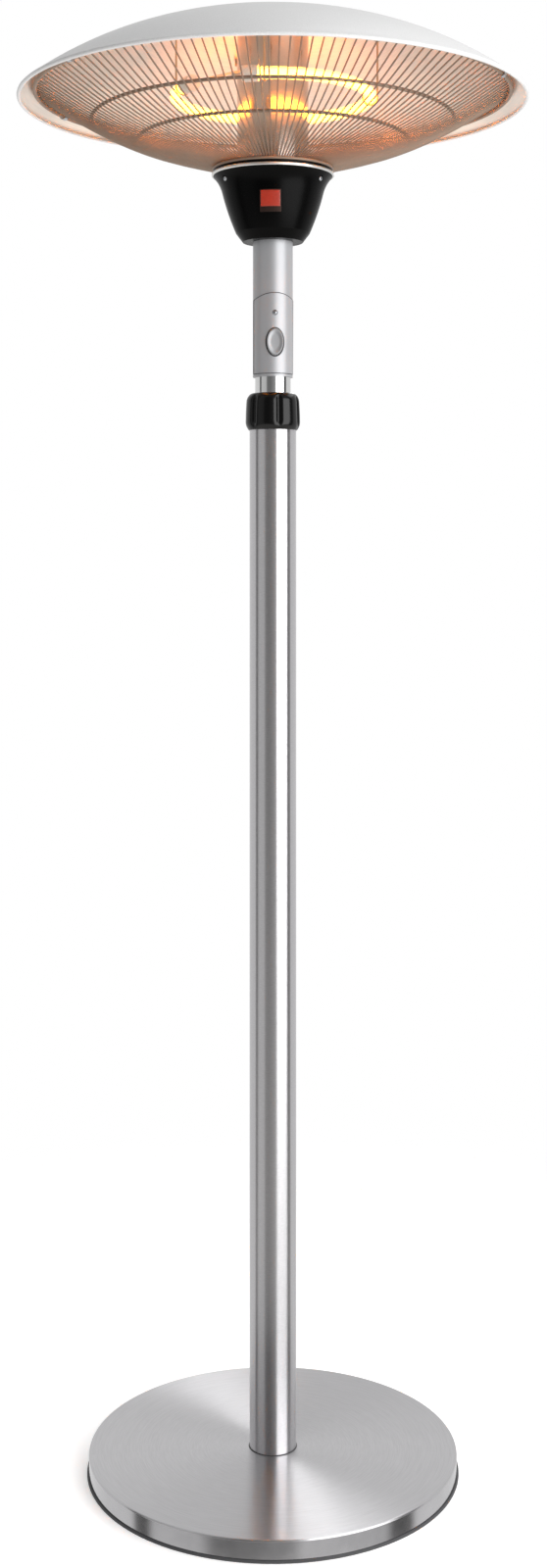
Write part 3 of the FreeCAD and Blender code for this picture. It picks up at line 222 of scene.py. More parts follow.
def bright_metal(name, colour, roughness, smudge):
    """Polished or plated metal: mirror-like, with faint handling haze that breaks the gloss."""
    material, tree, output = new_finish(name)
    place = node(tree, "ShaderNodeTexCoord").outputs["Object"]
    haze = node(tree, "ShaderNodeTexNoise", {"Vector": place, "Scale": 1 / smudge, "Detail": 4.0})
    rough = node(tree, "ShaderNodeMapRange",
                 {"Value": haze.outputs["Fac"], "To Min": roughness * 0.7, "To Max": roughness * 1.4})
    tint = node(tree, "ShaderNodeValToRGB", {"Fac": haze.outputs["Fac"]},
                [(0.35, shade(colour, 0.94)), (0.7, colour)])
    shader = node(tree, "ShaderNodeBsdfPrincipled", {
        "Base Color": tint.outputs[0], "Metallic": 1.0, "Roughness": rough.outputs[0]})
    tree.links.new(shader.outputs[0], output.inputs["Surface"])
    return material


def coated(name, colour, roughness, grain, depth, coat=0.0, metallic=0.0, specular=0.5):
    """Paint, enamel, rubber, plastic, or painted shade on wire, a button or a gap: an even colour with a fine
    texture of its own.
    """
    material, tree, output = new_finish(name)
    place = node(tree, "ShaderNodeTexCoord").outputs["Object"]
    fleck = node(tree, "ShaderNodeTexNoise",
                 {"Vector": place, "Scale": 1 / grain, "Detail": 3.0, "Roughness": 0.65})
    tint = node(tree, "ShaderNodeValToRGB", {"Fac": fleck.outputs["Fac"]},
                [(0.3, shade(colour, 0.85)), (0.7, colour)])
    rough = node(tree, "ShaderNodeMapRange",
                 {"Value": fleck.outputs["Fac"], "To Min": roughness * 0.85, "To Max": roughness * 1.15})
    bump = node(tree, "ShaderNodeBump", {"Height": fleck.outputs["Fac"], "Strength": 0.2, "Distance": depth})
    shader = node(tree, "ShaderNodeBsdfPrincipled", {
        "Base Color": tint.outputs[0], "Metallic": metallic, "Roughness": rough.outputs[0],
        "Normal": bump.outputs[0], "Coat Weight": coat, "Coat Roughness": 0.05,
        "Specular IOR Level": specular})
    tree.links.new(shader.outputs[0], output.inputs["Surface"])
    return material


def quartz_glass(name):
    """Clear fused quartz round a lit coil: see-through, with sharp reflections and a painted warm glow, the
    glass itself emitting in place of the coil's light scattered in the tube.
    """
    material, tree, output = new_finish(name)
    place = node(tree, "ShaderNodeTexCoord").outputs["Object"]
    cloud = node(tree, "ShaderNodeTexNoise", {"Vector": place, "Scale": 1 / (12 * MM), "Detail": 2.0})
    glow = node(tree, "ShaderNodeMapRange", {"Value": cloud.outputs["Fac"], "To Min": 2.0, "To Max": 3.4})
    # emission on the glass: painted glow for the coil's light scattered in the quartz
    shader = node(tree, "ShaderNodeBsdfPrincipled", {
        "Base Color": linear("#fff3e4"), "Roughness": 0.04, "Alpha": 0.3, "IOR": 1.46,
        "Emission Color": linear("#ffa050"), "Emission Strength": glow.outputs[0]})
    tree.links.new(shader.outputs[0], output.inputs["Surface"])
    return material


def lit_coil(name, colour, strength):
    """Resistance wire at orange heat, a little uneven along the ring."""
    material, tree, output = new_finish(name)
    place = node(tree, "ShaderNodeTexCoord").outputs["Object"]
    heat = node(tree, "ShaderNodeTexNoise", {"Vector": place, "Scale": 1 / (25 * MM), "Detail": 1.0})
    power = node(tree, "ShaderNodeMapRange",
                 {"Value": heat.outputs["Fac"], "To Min": strength * 0.8, "To Max": strength * 1.2})
    shader = node(tree, "ShaderNodeBsdfPrincipled", {
        "Base Color": linear("#5a4a40"), "Metallic": 1.0, "Roughness": 0.5,
        "Emission Color": colour, "Emission Strength": power.outputs[0]})
    tree.links.new(shader.outputs[0], output.inputs["Surface"])
    return material


FINISHES = {}


def finish(name):
    """Finish of that name, made once."""
    if name in FINISHES:
        return FINISHES[name]
    colours = bpy.context.scene.heater_colours
    makers = {
        # brushed stainless: soft streaks, rings that catch the light as a fan on the base
        "brushed_steel": lambda: brushed_metal("brushed stainless steel", colours.steel, 0.3, 0.7 * MM, 0.95),
        # chromed tube: crisp dark and bright bands
        "bright_steel": lambda: bright_metal("chromed steel", colours.bright, 0.07, 14 * MM),
        # the base's rim: polished, so that it mirrors the room in upright bands
        "polished_edge": lambda: bright_metal("polished stainless steel", colours.steel, 0.13, 20 * MM),
        # zinc-plated fasteners: duller, slightly blue
        "plain_steel": lambda: bright_metal("zinc plated steel", linear("#b9bcc0"), 0.3, 5 * MM),
        # drawn plated wire: its brown-grey colour is painted shade and painted warm reflection of the coil
        "guard_wire": lambda: coated("plated wire with painted brown shade", linear("#927e6e"), 0.5, 9 * MM, 0.005 * MM,
                                     metallic=0.4, specular=0.3),
        # wire near the coil: its straw-brown tint is painted shade
        "straw_painted_shade": lambda: bright_metal("steel wire with painted straw shade", linear("#c0a688"), 0.3, 4 * MM),
        # cast ballast: rough grey stone
        "ballast": lambda: coated("cast concrete", linear("#8b8781"), 0.9, 2.5 * MM, 0.4 * MM),
        # moulded rubber: matt black
        "black_rubber": lambda: coated("black rubber", linear("#141414"), 0.6, 0.8 * MM, 0.05 * MM),
        # foot ring: dark grey rubber, paler than the grommet
        "foot_rubber": lambda: coated("dark grey rubber", linear("#474749"), 0.6, 0.8 * MM, 0.05 * MM),
        # moulded plastic: satin to gloss black
        "black_plastic": lambda: coated("black ABS", linear("#050505"), 0.18, 1.2 * MM, 0.005 * MM,
                                        specular=0.3),
        "nylon": lambda: coated("natural nylon", linear("#d9d4c6"), 0.45, 2 * MM, 0.02 * MM),
        # silver lacquer: fine metal flake in a satin coat
        "grey_metallic": lambda: coated("silver lacquered aluminium", colours.paint, 0.46, 0.5 * MM,
                                        0.01 * MM, coat=0.1, metallic=0.5),
        "grey_plastic": lambda: coated("silver lacquered ABS", colours.paint, 0.46, 0.5 * MM, 0.01 * MM,
                                       coat=0.1, metallic=0.5),
        # the button: the housing's silver paint darkened, as painted shade on its face, so that its rim
        # catches the light
        "button_painted_shade": lambda: coated("silver lacquered ABS darkened as painted shade", shade(colours.paint, 0.72), 0.4,
                                         0.5 * MM, 0.01 * MM, coat=0.2, metallic=0.5),
        # clear lens over an unlit diode: a bright glint on grey
        "clear_plastic": lambda: coated("clear acrylic lens", linear("#8c8e92"), 0.1, 3 * MM, 0.005 * MM,
                                        coat=1.0, metallic=0.8),
        # painted shadow: dark grey in the gaps round the cover, the button and the pole
        "painted_gap_shadow": lambda: coated("grey painted gap shadow", linear("#3c3c3e"), 0.55, 0.8 * MM, 0.03 * MM),
        "board_green": lambda: coated("circuit board lacquer", linear("#1f5a34"), 0.4, 1.5 * MM, 0.02 * MM),
        "inner_plastic": lambda: coated("grey polyamide", linear("#4a4a4c"), 0.5, 1.5 * MM, 0.02 * MM),
        # stoved enamel: deep black gloss
        "black_enamel": lambda: coated("black gloss enamel", colours.enamel, 0.28, 4 * MM, 0.005 * MM,
                                       specular=0.06),
        # hood lacquer: pale grey satin
        "hood": lambda: coated("pale satin lacquer", colours.hood, 0.42, 1.2 * MM, 0.01 * MM, coat=0.1),
        # spun and polished aluminium: rings stretch the coil's light along the radius
        "dish_aluminium": lambda: brushed_metal("spun aluminium", linear("#fff0e2"), 0.34, 1.4 * MM, 0.8),
        # drawn aluminium tube: satin, with soft bands
        "post_aluminium": lambda: bright_metal("satin aluminium tube", linear("#b4aea6"), 0.16, 20 * MM),
        # rolled trim: even pale satin
        "trim_aluminium": lambda: bright_metal("satin anodised aluminium", linear("#e2e2e0"), 0.34, 14 * MM),
        "quartz": lambda: quartz_glass("quartz glass"),
        "glow": lambda: lit_coil("glowing resistance wire", colours.glow, 100.0),
        "ceramic": lambda: coated("steatite", linear("#ece7dc"), 0.5, 1.6 * MM, 0.03 * MM),
        "lead_sleeve": lambda: coated("glass-fibre sleeve", linear("#d8cdb8"), 0.8, 0.9 * MM, 0.1 * MM),
        # bare plate: glossy red enamel in a dark bronze frame
        "plate_enamel": lambda: coated("red enamel", colours.plate, 0.25, 3 * MM, 0.01 * MM, coat=0.4),
        "plate_bronze": lambda: bright_metal("dark bronze", linear("#3a2e2a"), 0.4, 6 * MM),
    }
    FINISHES[name] = makers[name]()
    return FINISHES[name]


def dress(slots):
    """Give the CAD nodes that stay their finishes."""
    for finish_name, names in slots.items():
        for name in names:
            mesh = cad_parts[name].data
            mesh.materials.clear()
            mesh.materials.append(finish(finish_name))


# Modelling

def lathe(profile, steps):
    """Mesh turned about Z from a closed profile of radius, height and corner rounding."""
    bm = bmesh.new()
    corners = [bm.verts.new((radius, 0, height)) for radius, height, _ in profile]
    for start, end in zip(corners, corners[1:] + corners[:1]):
        bm.edges.new((start, end))
    for corner, (_, _, rounding) in zip(list(corners), profile):
        if rounding:
            bmesh.ops.bevel(bm, geom=[corner], offset=rounding, segments=4, profile=0.5, material=-1,
                            affect="VERTICES")
    bmesh.ops.spin(bm, geom=bm.verts[:] + bm.edges[:], cent=(0, 0, 0), axis=UP, angle=FULL_TURN,
                   steps=steps, use_merge=True)
    bmesh.ops.remove_doubles(bm, verts=bm.verts[:], dist=1e-7)
    bmesh.ops.delete(bm, geom=[edge for edge in bm.edges if edge.is_wire], context="EDGES")
    return bm


def bowed(start, end, bend, steps=28):
    """Points of the arc of a bend radius from start to end in the XZ plane, bowed upwards."""
    chord = end - start
    rise = math.sqrt(bend ** 2 - (chord.length / 2) ** 2)
    across = Vector((chord.z, 0, -chord.x)).normalized()
    centre = (start + end) / 2 + across * (rise if across.z < 0 else -rise)
    first = (start - centre).normalized()
    sweep = first.rotation_difference((end - centre).normalized())
    points = []
    for index in range(steps + 1):
        share = Matrix.Rotation(sweep.angle * index / steps, 3, sweep.axis)
        points.append(centre + share @ first * bend)
    return points


def hoop(bm, radius, height, wire, steps=96, sides=8):
    """Ring of round wire about Z."""
    turn = Matrix.Translation((radius, 0, height)) @ Matrix.Rotation(math.pi / 2, 4, "X")
    made = bmesh.ops.create_circle(bm, cap_ends=False, radius=wire, segments=sides, matrix=turn)
    edges = list({edge for vert in made["verts"] for edge in vert.link_edges})
    bmesh.ops.spin(bm, geom=made["verts"] + edges, cent=(0, 0, 0), axis=UP, angle=FULL_TURN,
                   steps=steps, use_merge=True)


def draw_wire(bm, points, radius, sides=8):
    """Round wire drawn through points, closed at both ends."""
    points = [Vector(point) for point in points]
    heading = (points[1] - points[0]).normalized()
    place = Matrix.Translation(points[0]) @ UP.rotation_difference(heading).to_matrix().to_4x4()
    made = bmesh.ops.create_circle(bm, cap_ends=True, radius=radius, segments=sides, matrix=place)
    verts = made["verts"]
    edges = list({edge for vert in verts for edge in vert.link_edges})
    for index in range(1, len(points)):
        after = points[min(index + 1, len(points) - 1)] - points[index - 1]
        grown = bmesh.ops.extrude_edge_only(bm, edges=edges)["geom"]
        verts = [item for item in grown if isinstance(item, bmesh.types.BMVert)]
        edges = [item for item in grown if isinstance(item, bmesh.types.BMEdge)]
        edges = [edge for edge in edges if edge.verts[0] in verts and edge.verts[1] in verts]
        bmesh.ops.translate(bm, verts=verts, vec=points[index] - points[index - 1])
        turn = heading.rotation_difference(after.normalized()).to_matrix()
        bmesh.ops.rotate(bm, verts=verts, cent=points[index], matrix=turn)
        heading = after.normalized()
    bmesh.ops.edgeloop_fill(bm, edges=edges)


def smooth_run(points, each=4):
    """Smooth run through a few points, with a number of points on each stretch between them."""
    points = [Vector(point) for point in points]
    slopes = []
    for index, point in enumerate(points):
        before = points[max(index - 1, 0)]
        after = points[min(index + 1, len(points) - 1)]
        slopes.append((after - before).normalized())
    run = [points[0]]
    for index in range(len(points) - 1):
        here = points[index]
        there = points[index + 1]
        reach = (there - here).length / 3
        leaving = here + slopes[index] * reach
        arriving = there - slopes[index + 1] * reach
        run += interpolate_bezier(here, leaving, arriving, there, each + 1)[1:]
    return run


def islands(name):
    """Corners of each separate solid of a CAD node, from a merged copy of its mesh."""
    bm = bmesh.new()
    bm.from_mesh(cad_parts[name].data)
    bmesh.ops.remove_doubles(bm, verts=bm.verts[:], dist=1e-6)
    seen = set()
    solids = []
    for start in bm.verts:
        if start in seen:
            continue
        seen.add(start)
        reached = [start]
        for vert in reached:
            for line in vert.link_edges:
                other = line.other_vert(vert)
                if other not in seen:
                    seen.add(other)
                    reached.append(other)
        solids.append([vert.co.copy() for vert in reached])
    bm.free()
    return solids


def screw_head(bm, place, radius, height):
    """Pan head with a cross recess, standing at a place."""
    rounding = 0.55 * height
    land = 0.2 * radius
    arm = 0.55
    core = 0.2
    half_arm = 20
    before = set(bm.verts)
    bmesh.ops.create_circle(bm, cap_ends=True, radius=radius, segments=24)
    disc = next(face for face in bm.faces if not before.intersection(face.verts))
    grown = bmesh.ops.extrude_face_region(bm, geom=[disc])["geom"]
    top = [item for item in grown if isinstance(item, bmesh.types.BMVert)]
    bmesh.ops.translate(bm, verts=top, vec=(0, 0, height))
    face = next(item for item in grown if isinstance(item, bmesh.types.BMFace))
    bmesh.ops.bevel(bm, geom=list(face.edges), offset=rounding, segments=4, profile=0.5, material=-1,
                    affect="EDGES", clamp_overlap=True)
    made = [vert for vert in bm.verts if vert not in before]
    sides = {face for vert in made for face in vert.link_faces}
    crown = max(sides, key=lambda side: (len(side.verts), side.calc_center_median().z))
    bmesh.ops.inset_region(bm, faces=[crown], thickness=land)
    for vert in crown.verts:
        turn = math.degrees(math.atan2(vert.co.y, vert.co.x))
        reach = arm if abs((turn + 45) % 90 - 45) < half_arm else core
        vert.co.xy = vert.co.xy.normalized() * reach * radius
    sunk = bmesh.ops.extrude_face_region(bm, geom=[crown])["geom"]
    floor = [item for item in sunk if isinstance(item, bmesh.types.BMVert)]
    bmesh.ops.translate(bm, verts=floor, vec=(0, 0, -0.6 * height))
    bmesh.ops.delete(bm, geom=[crown], context="FACES_ONLY")
    made = [vert for vert in bm.verts if vert not in before]
    bmesh.ops.transform(bm, matrix=place, verts=made)


def screws(name, node_name, body, height, upright=False):
    """Heads with a recess in place of a CAD node's screws, facing out from the axis or up."""
    bm = bmesh.new()
    for corners in islands(node_name):
        middle = sum(corners, Vector()) / len(corners)
        way = UP if upright else Vector((middle.x, middle.y, 0)).normalized()
        face = max(corner.dot(way) for corner in corners)
        across = UP.cross(way) if not upright else Vector((1, 0, 0))
        spread = [corner.dot(across) for corner in corners]
        radius = (max(spread) - min(spread)) / 2
        spot = middle - way * middle.dot(way) + way * (face - height)
        place = Matrix.Translation(spot) @ UP.rotation_difference(way).to_matrix().to_4x4()
        screw_head(bm, place, radius, height)
    piece(bm, name, body, ["plain_steel"], [node_name], 50)


def piece(bm, name, body, finishes, replaced=(), sharp=40):
    """Finish a mesh as a piece that rides on a body."""
    bmesh.ops.recalc_face_normals(bm, faces=bm.faces[:])
    mesh = bpy.data.meshes.new(name)
    bm.to_mesh(mesh)
    bm.free()
    for name_of_finish in finishes:
        mesh.materials.append(finish(name_of_finish))
    mesh.shade_smooth()
    mesh.set_sharp_from_angle(angle=math.radians(sharp))
    made = bpy.data.objects.new(name, mesh)
    bpy.context.scene.collection.objects.link(made)
    made.modifiers.new("weighted normals", "WEIGHTED_NORMAL").keep_sharp = True
    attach(made, body)
    if replaced:
        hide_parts(*replaced)


class HEATER_OT_base(bpy.types.Operator):
    """Base cover, painted shadow ring at the pole's foot, foot ring and ballast"""
    bl_idname = "heater.base"
    bl_label = "Base"

    def execute(self, context):
        edge = outer_radius("base_cover")
        top = top_of("base_cover")
        sole = bottom_of("base_cover")
        sheet = 1.2 * MM
        shoulder = 2.2 * MM
        fold = 1.0 * MM
        foot_shadow_wire = 1.0 * MM
        pole = outer_radius("lower_pole")
        hole = pole / 2
        bm = lathe([(hole, top, 0), (edge, top, shoulder), (edge, sole, 0), (edge - sheet, sole, 0),
                    (edge - sheet, top - sheet, fold), (hole, top - sheet, 0)], 256)
        for face in bm.faces:
            inmost = min(vert.co.xy.length for vert in face.verts)
            face.material_index = int(inmost > edge - 0.1 * MM)
        finishes = ["brushed_steel", "polished_edge"]
        piece(bm, "base_disc", "stand", finishes, ["base_cover"], 60)
        # dark ring at the pole's foot: painted shadow where the pole meets the cover
        bm = bmesh.new()
        hoop(bm, pole, top, foot_shadow_wire)
        piece(bm, "pole_foot_shadow", "stand", ["painted_gap_shadow"], sharp=80)
        dress({"foot_rubber": ["foot_ring"], "ballast": ["base_weight"],
               "plain_steel": ["base_bolt", "base_washer", "pole_plug"]})
        return {"FINISHED"}


class HEATER_OT_poles(bpy.types.Operator):
    """Lower and inner pole with the clamp and the guide between them"""
    bl_idname = "heater.poles"
    bl_label = "Poles"

    def execute(self, context):
        dress({"brushed_steel": ["lower_pole"], "bright_steel": ["inner_pole"],
               "black_rubber": ["cable_grommet"], "black_plastic": ["clamp_sleeve"],
               "nylon": ["clamp_collet", "guide_bush"], "plain_steel": ["bush_circlips"]})
        return {"FINISHED"}


class HEATER_OT_collar(bpy.types.Operator):
    """Lock collar with its grip lobes"""
    bl_idname = "heater.collar"
    bl_label = "Lock collar"

    def execute(self, context):
        low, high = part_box("lock_collar")
        reach = context.scene.heater_sizes.collar_reach
        bore = outer_radius("lower_pole") + 0.3 * MM
        mouth = outer_radius("inner_pole") + 0.4 * MM
        foot = low.z + 6.5 * MM
        brow = high.z - 6 * MM
        taper = 1.2 * MM
        rounding = 3 * MM
        skirt_inset = 3.6 * MM
        top_inset = 6 * MM
        cone = 6 * MM
        levels = 8
        wall = []
        for index in range(levels + 1):
            share = index / levels
            wall.append((reach - taper * share ** 2, foot + (brow - foot) * share,
                         rounding if share in (0, 1) else 0))
        bm = lathe([(bore, low.z, 0), (reach - skirt_inset, low.z, 1.5 * MM)] + wall
                   + [(reach - top_inset, high.z, 2.5 * MM), (mouth, high.z, 0.8 * MM), (mouth, brow, 0),
                      (bore, brow - cone, 0)], 240)
        self.grooves(bm, foot, bore)
        piece(bm, "grip_collar", "collar", ["black_plastic"], ["lock_collar"], 60)
        return {"FINISHED"}

    def grooves(self, bm, foot, bore):
        """Press six upright grooves into the grip, shallow at the foot, so that lobes bulge between them."""
        phase = 7.1
        pitch = 60
        groove = 2.4 * MM
        groove_width = 5.5
        dip = 0.9 * MM
        dip_width = 15
        fade_height = 6 * MM
        inner_wall = 1 * MM
        blend = 2 * MM
        for vert in bm.verts:
            radius = vert.co.xy.length
            turn = math.degrees(math.atan2(vert.co.x, -vert.co.y)) - phase
            off = (turn + pitch / 2) % pitch - pitch / 2
            depth = groove * math.exp(-(off / groove_width) ** 2) + dip * math.exp(-(off / dip_width) ** 2)
            fade = min(max((vert.co.z - foot) / fade_height + 0.6, 0.15), 1)
            skin = min(max((radius - bore - inner_wall) / blend, 0), 1)
            vert.co.xy *= 1 - depth * fade * skin / radius


class HEATER_OT_switch(bpy.types.Operator):
    """Switch housing with its cover, button and lens"""
    bl_idname = "heater.switch"
    bl_label = "Switch"

    def execute(self, context):
        self.seam_shade()
        self.button()
        self.lens()
        screws("cover_screw_heads", "cover_screws", "head", SCREW_HEAD)
        screws("pole_screw_head", "pole_screw", "head", SCREW_HEAD)
        dress({"grey_metallic": ["switch_housing"], "grey_plastic": ["switch_cover"],
               "board_green": ["control_board"],
               "inner_plastic": ["push_switch", "power_relay", "switch_plunger"]})
        return {"FINISHED"}

    def seam_shade(self):
        """Thin dark wire that fills the gap all round the cover's edge: painted shade in the seam."""
        low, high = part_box("switch_cover")
        radius = outer_radius("switch_housing") + 0.1 * MM
        half = math.acos(high.y / low.y)
        rise = 10 * MM
        arch_reach = 2.4 * MM
        span = arch_reach - low.y
        bend = (span ** 2 + rise ** 2) / (2 * rise)
        steps = 24
        run = []
        for index in range(-steps, steps + 1):
            turn = half * index / steps
            across = radius * math.sin(turn)
            drop = bend - math.sqrt(bend ** 2 - across ** 2)
            run.append((across, -radius * math.cos(turn), high.z - drop))
        for index in range(1, steps + 1):
            turn = half * (1 - 2 * index / steps)
            run.append((radius * math.sin(turn), -radius * math.cos(turn), low.z))
        run.append(run[0])
        bm = bmesh.new()
        draw_wire(bm, run, 0.55 * MM, 6)
        piece(bm, "cover_seam_shadow", "head", ["painted_gap_shadow"], sharp=80)

    def button(self):
        """Oval button with a raised rim round a dished face."""
        low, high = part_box("power_button")
        wide = 19.7 * MM / 2
        tall = 31.8 * MM / 2
        mean = (wide + tall) / 2
        middle = (low.z + high.z) / 2
        proud = -low.y
        sunk = 0.9 * MM
        back = proud - 6 * MM
        face = [(0.0, proud - sunk, 0), (0.6 * mean, proud - 0.8 * MM, 1.5 * MM)]
        rim = [(0.84 * mean, proud, 0.8 * MM), (0.92 * mean, proud, 0.6 * MM), (mean, proud - sunk, 0.5 * MM)]
        bm = lathe(face + rim + [(mean, back, 0), (0.0, back, 0)], 64)
        lay = Matrix.Translation((0, 0, middle)) @ Matrix.Rotation(math.pi / 2, 4, "X")
        bmesh.ops.scale(bm, verts=bm.verts[:], vec=(wide / mean, tall / mean, 1))
        bmesh.ops.transform(bm, verts=bm.verts[:], matrix=lay)
        # the button's darker lacquer is painted shade
        piece(bm, "push_button", "button", ["button_painted_shade"], ["power_button"], 60)
        self.gap(wide, tall, middle)

    def gap(self, wide, tall, middle):
        """Dark ring round the button, a little wider below it: painted shadow in the gap."""
        skin = -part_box("switch_cover")[0].y
        play = 0.7 * MM
        # the ring sits lower so that the painted shadow shows wider below the button
        drop = 0.4 * MM
        wire = 0.7 * MM
        steps = 72
        run = []
        for index in range(steps + 1):
            turn = FULL_TURN * index / steps
            across = (wide + play) * math.cos(turn)
            height = middle - drop + (tall + play) * math.sin(turn)
            run.append((across, -math.sqrt(skin ** 2 - across ** 2), height))
        bm = bmesh.new()
        draw_wire(bm, run, wire)
        piece(bm, "button_ring_shadow", "head", ["painted_gap_shadow"], sharp=80)

    def lens(self):
        """Domed lens of the indicator, with a flange that lies on the cover."""
        low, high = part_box("indicator_lens")
        radius = (high.z - low.z) / 2
        cover = -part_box("switch_cover")[0].y
        lay = Matrix.Translation((0, 0, (low.z + high.z) / 2)) @ Matrix.Rotation(math.pi / 2, 4, "X")
        flange = radius + 1.1 * MM
        seat = cover - 0.3 * MM
        back = cover - 3 * MM
        dome = [(0.0, cover + 1.9 * MM, 0), (0.55 * flange, cover + 1.6 * MM, 0.9 * MM)]
        rim = [(flange, cover + 0.1 * MM, 0.6 * MM), (flange, seat, 0), (radius, seat, 0)]
        bm = lathe(dome + rim + [(radius, back, 0), (0.0, back, 0)], 32)
        bmesh.ops.transform(bm, verts=bm.verts[:], matrix=lay)
        piece(bm, "lens_dome", "head", ["clear_plastic"], ["indicator_lens"], 60)


class HEATER_OT_neck(bpy.types.Operator):
    """Neck housing with its screws, trim ring and bare plate"""
    bl_idname = "heater.neck"
    bl_label = "Neck"

    def execute(self, context):
        sizes = context.scene.heater_sizes
        self.plate("plate_frame", sizes.plate_width, sizes.plate_height, 0, 1.0 * MM, "plate_bronze")
        strip = 0.2 * sizes.plate_height
        border = 1.2 * MM
        margin = 2 * border
        self.plate("plate_panel", sizes.plate_width - margin, sizes.plate_height - strip - margin, strip / 2,
                   1.5 * MM, "plate_enamel")
        screws("neck_screw_heads", "neck_screws", "head", SCREW_HEAD)
        dress({"black_enamel": ["neck_housing", "mounting_plate"], "trim_aluminium": ["trim_ring"],
               "plain_steel": ["ring_nut"], "inner_plastic": ["terminal_block", "tilt_switch"],
               "lead_sleeve": ["switch_leads"]})
        return {"FINISHED"}

    def plate(self, name, width, height, lift, thickness, finish_name):
        """Bare plate bent to the neck's front, with rounded edges."""
        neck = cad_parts["neck_housing"].data
        skin = BVHTree.FromPolygons([vert.co for vert in neck.vertices],
                                    [face.vertices for face in neck.polygons])
        off_front = -9.5
        rise = 40 * MM
        in_front = 0.2
        sink = 0.2 * MM
        rounding = 0.4 * MM
        turn = Matrix.Rotation(math.radians(off_front), 3, "Z")
        middle = Vector((0, -in_front, bottom_of("neck_housing") + rise + lift))
        bm = bmesh.new()
        bmesh.ops.create_grid(bm, x_segments=24, y_segments=24, size=0.5)
        bmesh.ops.scale(bm, verts=bm.verts[:], vec=(width, height, 1))
        bmesh.ops.rotate(bm, verts=bm.verts[:], cent=(0, 0, 0), matrix=Matrix.Rotation(math.pi / 2, 3, "X"))
        for vert in bm.verts:
            spot, normal, _, _ = skin.ray_cast(turn @ (middle + vert.co), turn @ Vector((0, 1, 0)))
            vert.co = spot - normal * sink
        bmesh.ops.recalc_face_normals(bm, faces=bm.faces[:])
        outward = next(iter(bm.faces)).normal.dot(turn @ Vector((0, -1, 0)))
        bmesh.ops.solidify(bm, geom=bm.faces[:], thickness=-math.copysign(thickness + sink, outward))
        bmesh.ops.recalc_face_normals(bm, faces=bm.faces[:])
        rims = [line for line in bm.edges if line.is_manifold and line.calc_face_angle() > math.radians(60)]
        bmesh.ops.bevel(bm, geom=rims, offset=rounding, segments=3, profile=0.5, material=-1, affect="EDGES",
                        clamp_overlap=True)
        piece(bm, name, "head", [finish_name])


class HEATER_OT_dish(bpy.types.Operator):
    """Reflector dish, pale outside and polished inside, with the post that carries it"""
    bl_idname = "heater.dish"
    bl_label = "Dish and post"

    def execute(self, context):
        sizes = context.scene.heater_sizes
        top = top_of("reflector_dish")
        bead = 2.5 * MM
        rim = Vector((outer_radius("reflector_dish") - bead, 0, bottom_of("reflector_dish") + bead))
        crown = Vector((sizes.crown_radius, 0, top))
        edge = Vector((rim.x, 0, rim.z + bead))
        curve = bowed(crown, edge, sizes.dish_bend)
        outside = [(0.1 * MM, top, 0)] + [(point.x, point.z, 0) for point in curve]
        bead_step = 30
        bead_turn = []
        for index in range(1, 9):
            turn = math.radians(90 - bead_step * index)
            bead_turn.append((rim.x + bead * math.cos(turn), rim.z + bead * math.sin(turn), 0))
        sheet = 1.0 * MM
        inside = [(radius, height - sheet, 0) for radius, height, _ in reversed(outside)]
        bm = lathe(outside + bead_turn + inside, 192)
        bmesh.ops.recalc_face_normals(bm, faces=bm.faces[:])
        for face in bm.faces:
            middle = face.calc_center_median()
            within = face.normal.z < 0 and math.hypot(middle.x, middle.y) < rim.x - bead
            face.material_index = 1 if within else 0
        piece(bm, "spun_dish", "head", ["hood", "dish_aluminium"], ["reflector_dish"], 50)
        screws("post_screw_heads", "post_screws", "head", SCREW_HEAD)
        screws("crown_screw_heads", "dish_screws", "head", top_of("dish_screws") - top, True)
        dress({"post_aluminium": ["centre_post"], "plain_steel": ["post_cap"]})
        return {"FINISHED"}


class HEATER_OT_grille(bpy.types.Operator):
    """Grille of bowed wires welded on four rings"""
    bl_idname = "heater.grille"
    bl_label = "Grille"

    def execute(self, context):
        sizes = context.scene.heater_sizes
        rings = ["grille_outer_ring", "grille_upper_ring", "grille_lower_ring", "grille_inner_ring"]
        places = [ring_place(ring) for ring in rings]
        touch = []
        for index, (radius, height, wire) in enumerate(places):
            before = places[max(index - 1, 0)]
            after = places[min(index + 1, len(places) - 1)]
            along = Vector((after[0] - before[0], 0, after[1] - before[1])).normalized()
            away = Vector((along.z, 0, -along.x))
            side = 1 if index in (0, len(places) - 1) else -1
            touch.append(Vector((radius, 0, height)) + away * side * (wire + sizes.wire_radius))
        bm = bmesh.new()
        draw_wire(bm, smooth_run(touch), sizes.wire_radius)
        step = FULL_TURN / sizes.wire_count
        bmesh.ops.spin(bm, geom=bm.verts[:] + bm.edges[:] + bm.faces[:], cent=(0, 0, 0), axis=UP,
                       angle=FULL_TURN - step, steps=sizes.wire_count - 1, use_duplicate=True)
        # the wires' brown-grey finish is painted shade and painted warm reflection
        piece(bm, "bowed_wires", "head", ["guard_wire"], ["grille_wires"], 80)
        dress({"guard_wire": rings, "plain_steel": ["grille_clips"]})
        return {"FINISHED"}


